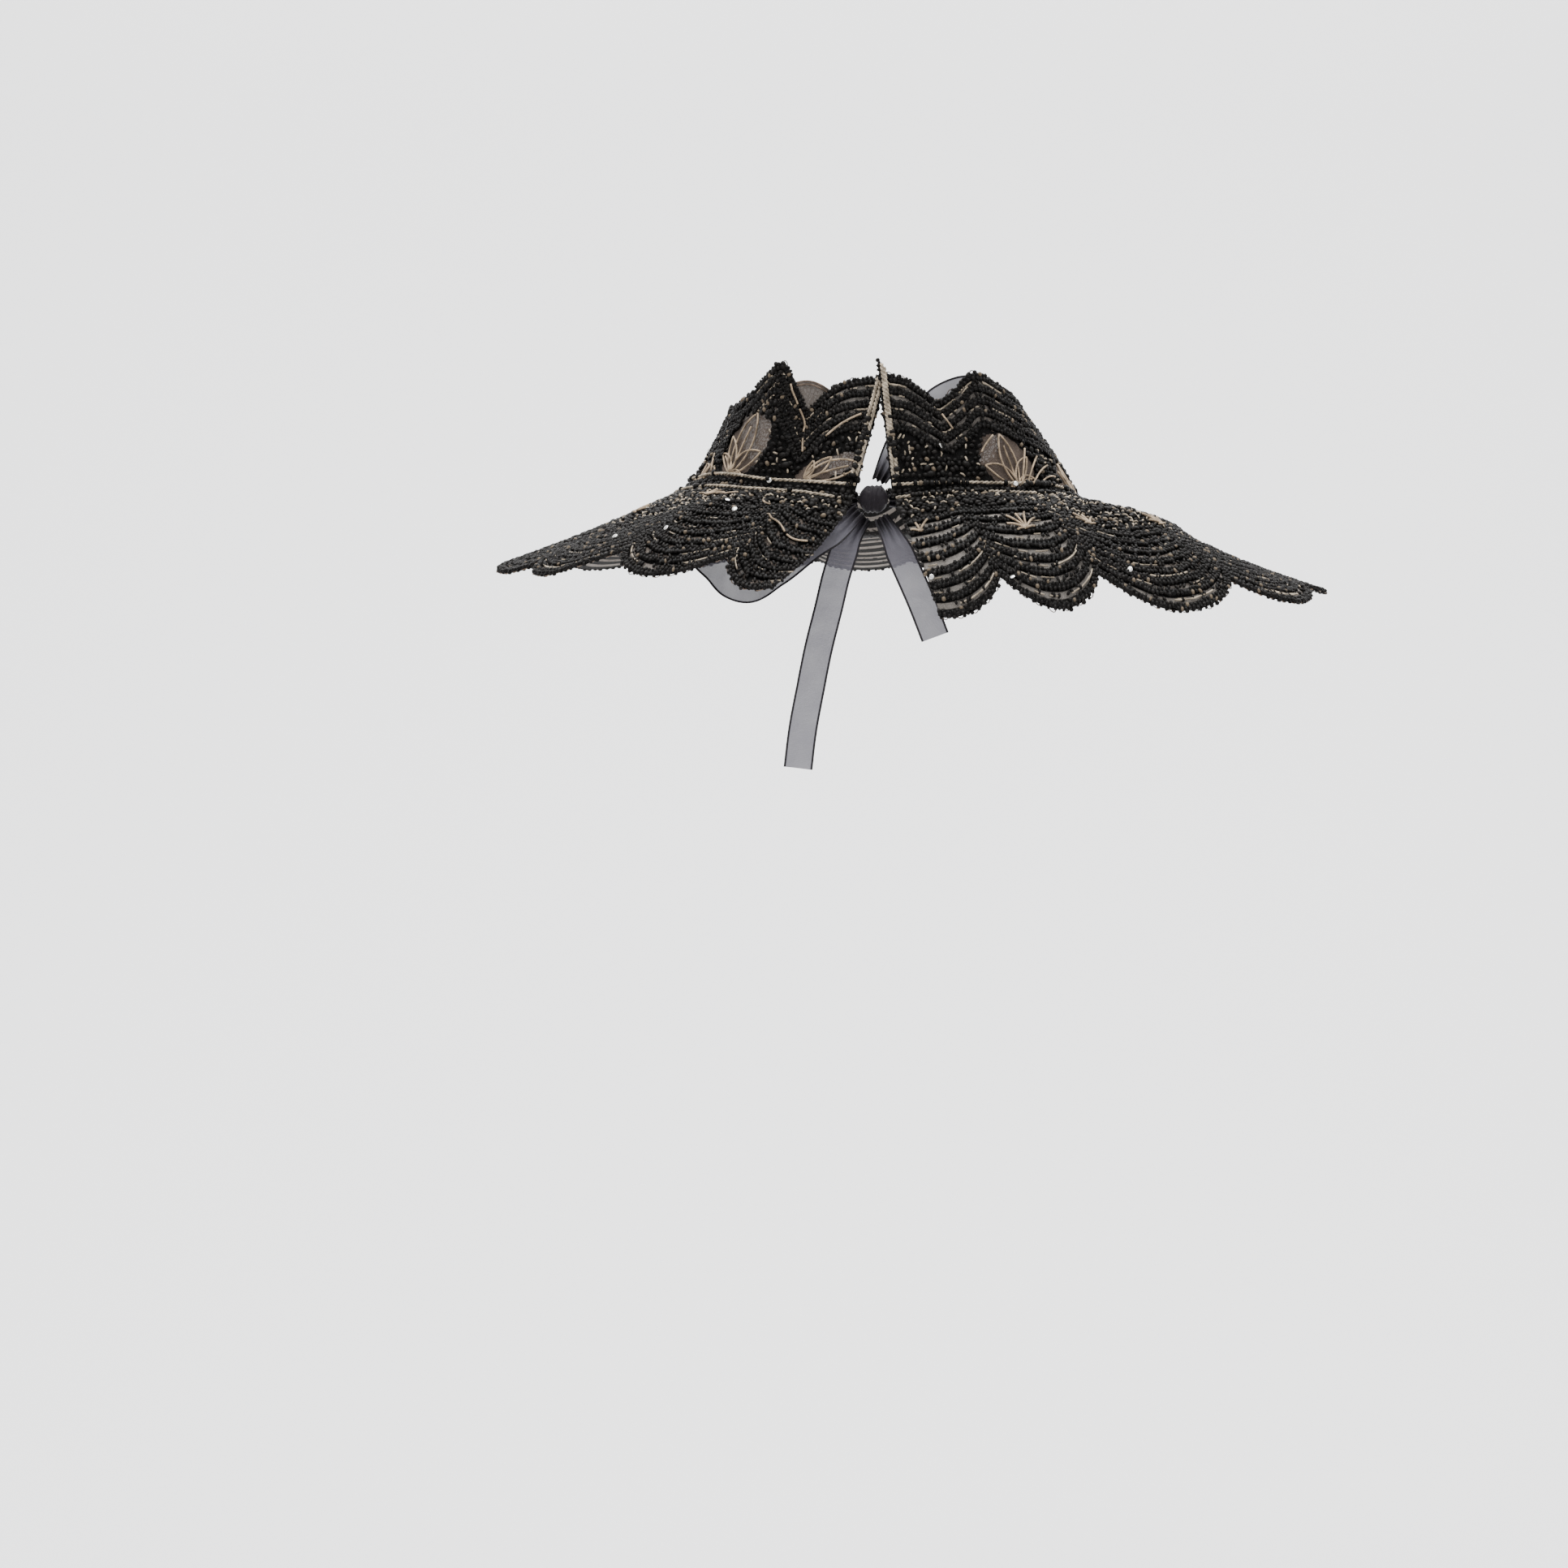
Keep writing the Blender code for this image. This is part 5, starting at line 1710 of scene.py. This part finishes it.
TAIL_LEFT = (
    RibbonPoint(-3.6, -59.4, -7.6, 0.0, -1.0, 0.2),
    RibbonPoint(-8.6, -60.6, -14.6, 0.0, -1.0, 0.2),
    RibbonPoint(-12.8, -61.8, -25.5, 0.0, -1.0, 0.15),
    RibbonPoint(-16.3, -63.2, -39.6, 0.05, -1.0, 0.1),
    RibbonPoint(-19.8, -64.8, -53.6, 0.05, -1.0, 0.1),
    RibbonPoint(-22.6, -66.6, -67.6, 0.05, -1.0, 0.1),
    RibbonPoint(-25.2, -68.8, -81.6, 0.0, -1.0, 0.12),
    RibbonPoint(-26.8, -70.6, -94.6, 0.0, -1.0, 0.12),
)
TAIL_RIGHT = (
    RibbonPoint(1.8, -61.4, -7.8, 0.0, -1.0, 0.2),
    RibbonPoint(5.8, -62.6, -15.0, 0.05, -1.0, 0.2),
    RibbonPoint(10.8, -64.4, -26.0, 0.05, -1.0, 0.15),
    RibbonPoint(16.0, -66.2, -38.0, 0.05, -1.0, 0.12),
    RibbonPoint(20.4, -67.4, -49.5, 0.05, -1.0, 0.12),
)
TIE_RIGHT = (
    RibbonPoint(4.7, -58.3, -1.6, 0.08, -1.0, 0.0),
    RibbonPoint(8.5, -57.9, -1.5, 0.14, -1.0, 0.0),
    RibbonPoint(13.0, -57.0, -1.4, 0.22, -1.0, 0.0),
)
TIE_LEFT = (
    RibbonPoint(-6.1, -58.2, -1.6, -0.1, -1.0, 0.0),
    RibbonPoint(-10.0, -57.7, -1.5, -0.17, -1.0, 0.0),
    RibbonPoint(-14.5, -56.9, -1.0, -0.25, -1.0, 0.0),
)


class Stretch(NamedTuple):
    """One stretch of the ribbon, with which of its ends are drawn into the knot."""
    name: str
    route: tuple[RibbonPoint, ...]
    gathered: tuple[float, ...]


STRETCHES = (
    Stretch("ribbon_loop_right", LOOP_RIGHT, (0.0, 1.0)),
    Stretch("ribbon_loop_left", LOOP_LEFT, (0.0, 1.0)),
    Stretch("ribbon_tail_left", TAIL_LEFT, (0.0,)),
    Stretch("ribbon_tail_right", TAIL_RIGHT, (0.0,)),
    Stretch("ribbon_tie_right", TIE_RIGHT, (0.0,)),
    Stretch("ribbon_tie_left", TIE_LEFT, (0.0,)),
)


@dataclass
class Bow:
    """The sheer ribbon bow: soft loops and tails that are gathered into the knot, and the knot's turns."""
    width: float = 10.0
    width_in_knot: float = 5.2
    draw_in: float = 14.0
    step: float = 0.9
    across: int = 21
    pleats: float = 3.0
    pleat_depth: float = 1.15
    ripple: float = 0.35
    knot_centre: Triple = (-0.7, -60.4, -1.6)
    knot_radii: Triple = (5.0, 4.0, 5.2)
    turn_width: float = 4.6
    turn_points: int = 49
    turn_across: int = 15
    shortest_flat: float = 10.0

    def build(self, finish: bpy.types.Material, shaded_knot_finish: bpy.types.Material) -> list[bpy.types.Object]:
        """Every stretch of the ribbon in the grey finish, and the knot in a near-black one that is painted
        shade.
        """
        made = [self.stretch(stretch, finish) for stretch in STRETCHES]
        made.append(self.knot(shaded_knot_finish))
        return made

    def stretch(self, stretch: Stretch, finish: bpy.types.Material) -> bpy.types.Object:
        """One stretch as a sheet of cloth, which stands for its solid."""
        table = np.array([tuple(point) for point in stretch.route])
        walked = walked_along(table[:, :3])
        length = walked[-1]
        at = np.linspace(0.0, length, max(8, int(length / self.step)))
        columns = [hermite(walked, table[:, k], np.gradient(table[:, k], walked), at) for k in range(6)]
        middle, face = np.stack(columns[:3], axis=-1), unit(np.stack(columns[3:], axis=-1))
        along = unit(np.gradient(middle, axis=0))
        sideways = unit(np.cross(along, face))
        upwards = np.cross(sideways, along)
        near = np.min([np.abs(at - end * length) for end in stretch.gathered], axis=0)
        open_share = np.clip(near / self.draw_in, 0.0, 1.0)
        width = self.width_in_knot + (self.width - self.width_in_knot) * open_share
        v = np.linspace(-0.5, 0.5, self.across)
        pleat = np.sin(2.0 * math.pi * self.pleats * v) * self.pleat_depth
        drawn = (1.0 - open_share) ** 1.5
        wave = self.ripple * np.sin(at / 9.0 + 1.3) * np.minimum(near / 8.0, 1.0)
        cup = (v * 2.0) ** 2 - 0.33
        lift = drawn[:, None] * pleat[None, :] + wave[:, None] * (cup + 0.6 * v)[None, :]
        points = middle[:, None] + sideways[:, None] * (width[:, None] * v[None, :])[..., None] \
            + upwards[:, None] * lift[..., None]
        flat = np.stack(np.broadcast_arrays((v + 0.5)[None, :], (at * MM)[:, None]), axis=-1)
        # gathered also paints the ribbon dark near the knot: painted shade in its gathers.
        gathered = np.repeat(drawn, self.across)
        shape = Shape(points.reshape(-1, 3), [grid_faces(len(at), self.across)], {"gathered": gathered},
                      flat.reshape(-1, 2))
        made = shape.piece(f"{stretch.name}_organza", finish)
        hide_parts(stretch.name)
        if length < self.shortest_flat:
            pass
        else:
            flat = (self.width * MM, float(length) * MM)
        return made

    def knot(self, finish: bpy.types.Material) -> bpy.types.Object:
        """The knot: ribbon wound into a tight pleated lump, with a turn of ribbon over its waist."""
        ball = pinched_ball(64, 40)
        x, y, z = ball.points.T
        waist = 1.0 - 0.2 * np.exp(-(x / 0.3) ** 2)
        round_x = np.arctan2(y, z)
        pleats = 1.0 + 0.045 * np.sin(9.0 * round_x + 3.0 * x) * (1.0 - np.abs(x))
        pleats += 0.03 * np.sin(5.0 * round_x - 7.0 * x)
        points = np.stack([x, y * waist * pleats, z * waist * pleats], axis=-1) * np.array(self.knot_radii)
        body = Shape(points + np.array(self.knot_centre), ball.faces, {"gathered": np.ones(len(points))})
        turn = np.linspace(0.0, 2.0 * math.pi, self.turn_points)
        v = np.linspace(-0.5, 0.5, self.turn_across)
        fold = 0.22 * np.sin(2.0 * math.pi * 3.0 * v)
        radius = np.stack([self.knot_radii[1] * 0.9 + fold, self.knot_radii[2] * 0.9 + fold])
        cosine, sine = np.cos(turn)[:, None], np.sin(turn)[:, None]
        sideways = v[None, :] * self.turn_width + 0.7 * sine
        band = np.stack([sideways, -cosine * radius[0][None, :], sine * radius[1][None, :]], axis=-1)
        wrap = Shape((band + np.array(self.knot_centre)).reshape(-1, 3),
                     [grid_faces(self.turn_points, self.turn_across)],
                     {"gathered": np.ones(band.size // 3)})
        shape = Shape.joined([body, wrap])
        wrap_flat = np.stack(np.broadcast_arrays((v + 0.5)[None, :], turn[:, None] * 0.005), axis=-1)
        shape.uv = np.concatenate([np.stack([x * 0.5 + 0.5, round_x * 0.005], axis=-1),
                                   wrap_flat.reshape(-1, 2)])
        made = shape.piece("ribbon_knot_turns", finish)
        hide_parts("ribbon_knot")
        return made


@dataclass
class Studio:
    """The camera at the photograph's place, a pale floor that sweeps up into a wall, and soft lights."""
    camera_place: Triple = (-0.0316, -1.800, -0.100)
    half_frame: float = 0.15563
    floor_height: float = -0.45
    wall_distance: float = 1.6
    floor_bend: float = 0.8
    size: float = 6.0

    def build(self) -> None:
        """Put up the stage, the lights and the camera."""
        self.backdrop(Plaster("pale_backdrop").material())
        world = bpy.data.worlds.new("soft_daylight")
        world.use_nodes = True
        background = world.node_tree.nodes["Background"]
        background.inputs["Color"].default_value = (0.95, 0.96, 1.0, 1.0)
        background.inputs["Strength"].default_value = 0.8
        bpy.context.scene.world = world
        self.light("key", (-1.2, -1.9, 1.7), (0.0, 0.0, 0.0), 1.6, 34.0)
        self.light("fill", (1.6, -1.4, 0.8), (0.0, 0.0, 0.0), 2.0, 16.0)
        self.light("wall_wash", (0.0, 0.3, 1.9), (0.0, self.wall_distance, -0.1), 2.0, 150.0)
        lens = bpy.data.cameras.new("photo_view")
        lens.angle = 2.0 * math.atan(self.half_frame)
        camera = bpy.data.objects.new("photo_view", lens)
        camera.location = self.camera_place
        camera.rotation_euler = (math.radians(90.0), 0.0, 0.0)
        bpy.context.scene.collection.objects.link(camera)
        bpy.context.scene.camera = camera

    def light(self, name: str, place: Triple, target: Triple, size: float, power: float) -> None:
        """A soft square light.

        Args:
            name: the light's name.
            place: where it hangs, in metres.
            target: the place that it looks at.
            size: the length of its side, in metres.
            power: its power in watts.
        """
        lamp = bpy.data.lights.new(name, "AREA")
        lamp.size = size
        lamp.energy = power
        made = bpy.data.objects.new(name, lamp)
        made.location = place
        away = np.array(place) - np.array(target)
        made.rotation_euler = (math.acos(away[2] / np.linalg.norm(away)), 0.0,
                               math.atan2(away[1], away[0]) + math.radians(90.0))
        bpy.context.scene.collection.objects.link(made)

    def backdrop(self, finish: bpy.types.Material) -> None:
        """The floor, curved up into a wall behind the collar."""
        bend = self.floor_bend
        turn = np.linspace(0.0, math.pi / 2.0, 17)
        profile = [(-self.size / 2.0, 0.0)]
        profile += [(self.wall_distance - bend + bend * math.sin(a), bend * (1.0 - math.cos(a)))
                    for a in turn]
        profile += [(self.wall_distance, self.size)]
        x = np.array([-self.size / 2.0, self.size / 2.0])
        points = np.array([[[px, y, z + self.floor_height] for px in x] for y, z in profile]) / MM
        shape = Shape(points.reshape(-1, 3), [grid_faces(len(profile), 2)])
        mesh = bpy.data.meshes.new("backdrop")
        mesh.from_pydata((shape.points * MM).tolist(), [], shape.faces[0].tolist())
        mesh.shade_smooth()
        mesh.materials.append(finish)
        made = bpy.data.objects.new("backdrop", mesh)
        bpy.context.scene.collection.objects.link(made)
        made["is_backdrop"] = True


def corners(box: tuple) -> list[list[float]]:
    """A box's two corners as plain lists."""
    return [[float(value) for value in corner] for corner in box]


def main() -> None:
    """Dress the collar piece by piece, then put up the studio."""
    logging.basicConfig(level=logging.INFO, format="%(message)s")
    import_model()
    solids = corners(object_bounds())
    form = CollarForm()
    beads, disc = bead_template(6, 3, 0.8), bead_template(12, 5, 1.0)
    black = BlackBeads("black_beads").material()
    black_cord = Thread("black_cord", (0.0045, 0.004, 0.0037), strand=0.7).material()
    tan = Thread("tan_cord", (0.31, 0.235, 0.16), strand=0.6).material()
    dull_tan = Thread("dull_tan_stitches", (0.34, 0.285, 0.215), strand=0.6).material()
    brown = Thread("brown_cord", (0.12, 0.088, 0.066), strand=0.6).material()
    for panel in Panel:
        net = SheerNet(f"{panel.label}_net").material()
        Net(form).build(panel, net)
        BeadRows(form, panel).build(beads, black, black_cord, dull_tan)
        Edging(form, panel).build(beads, black, brown)
        CordedLeaves(form).build(panel, tan)
        Filling(form, panel).build(beads, black, dull_tan)
    NotchNet(form).build(net, brown)
    Sequins(form).build(disc, Sequin("sequin").material())
    NecklineCords(form).build(dull_tan, beads, black)
    OpeningBindings(form).build(dull_tan, beads, black)
    # The knot's finish is the grey ribbon painted near black: painted shade in its tight folds, over the
    # black lace under it.
    shaded_knot = Organza("shaded_knot_organza", (0.006, 0.0055, 0.0065), specular=0.08)
    Bow().build(Organza("grey_organza").material(), shaded_knot.material())
    Studio().build()
    {"solids": solids, "dressed": corners(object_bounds())}


if __name__ == "__main__":
    main()
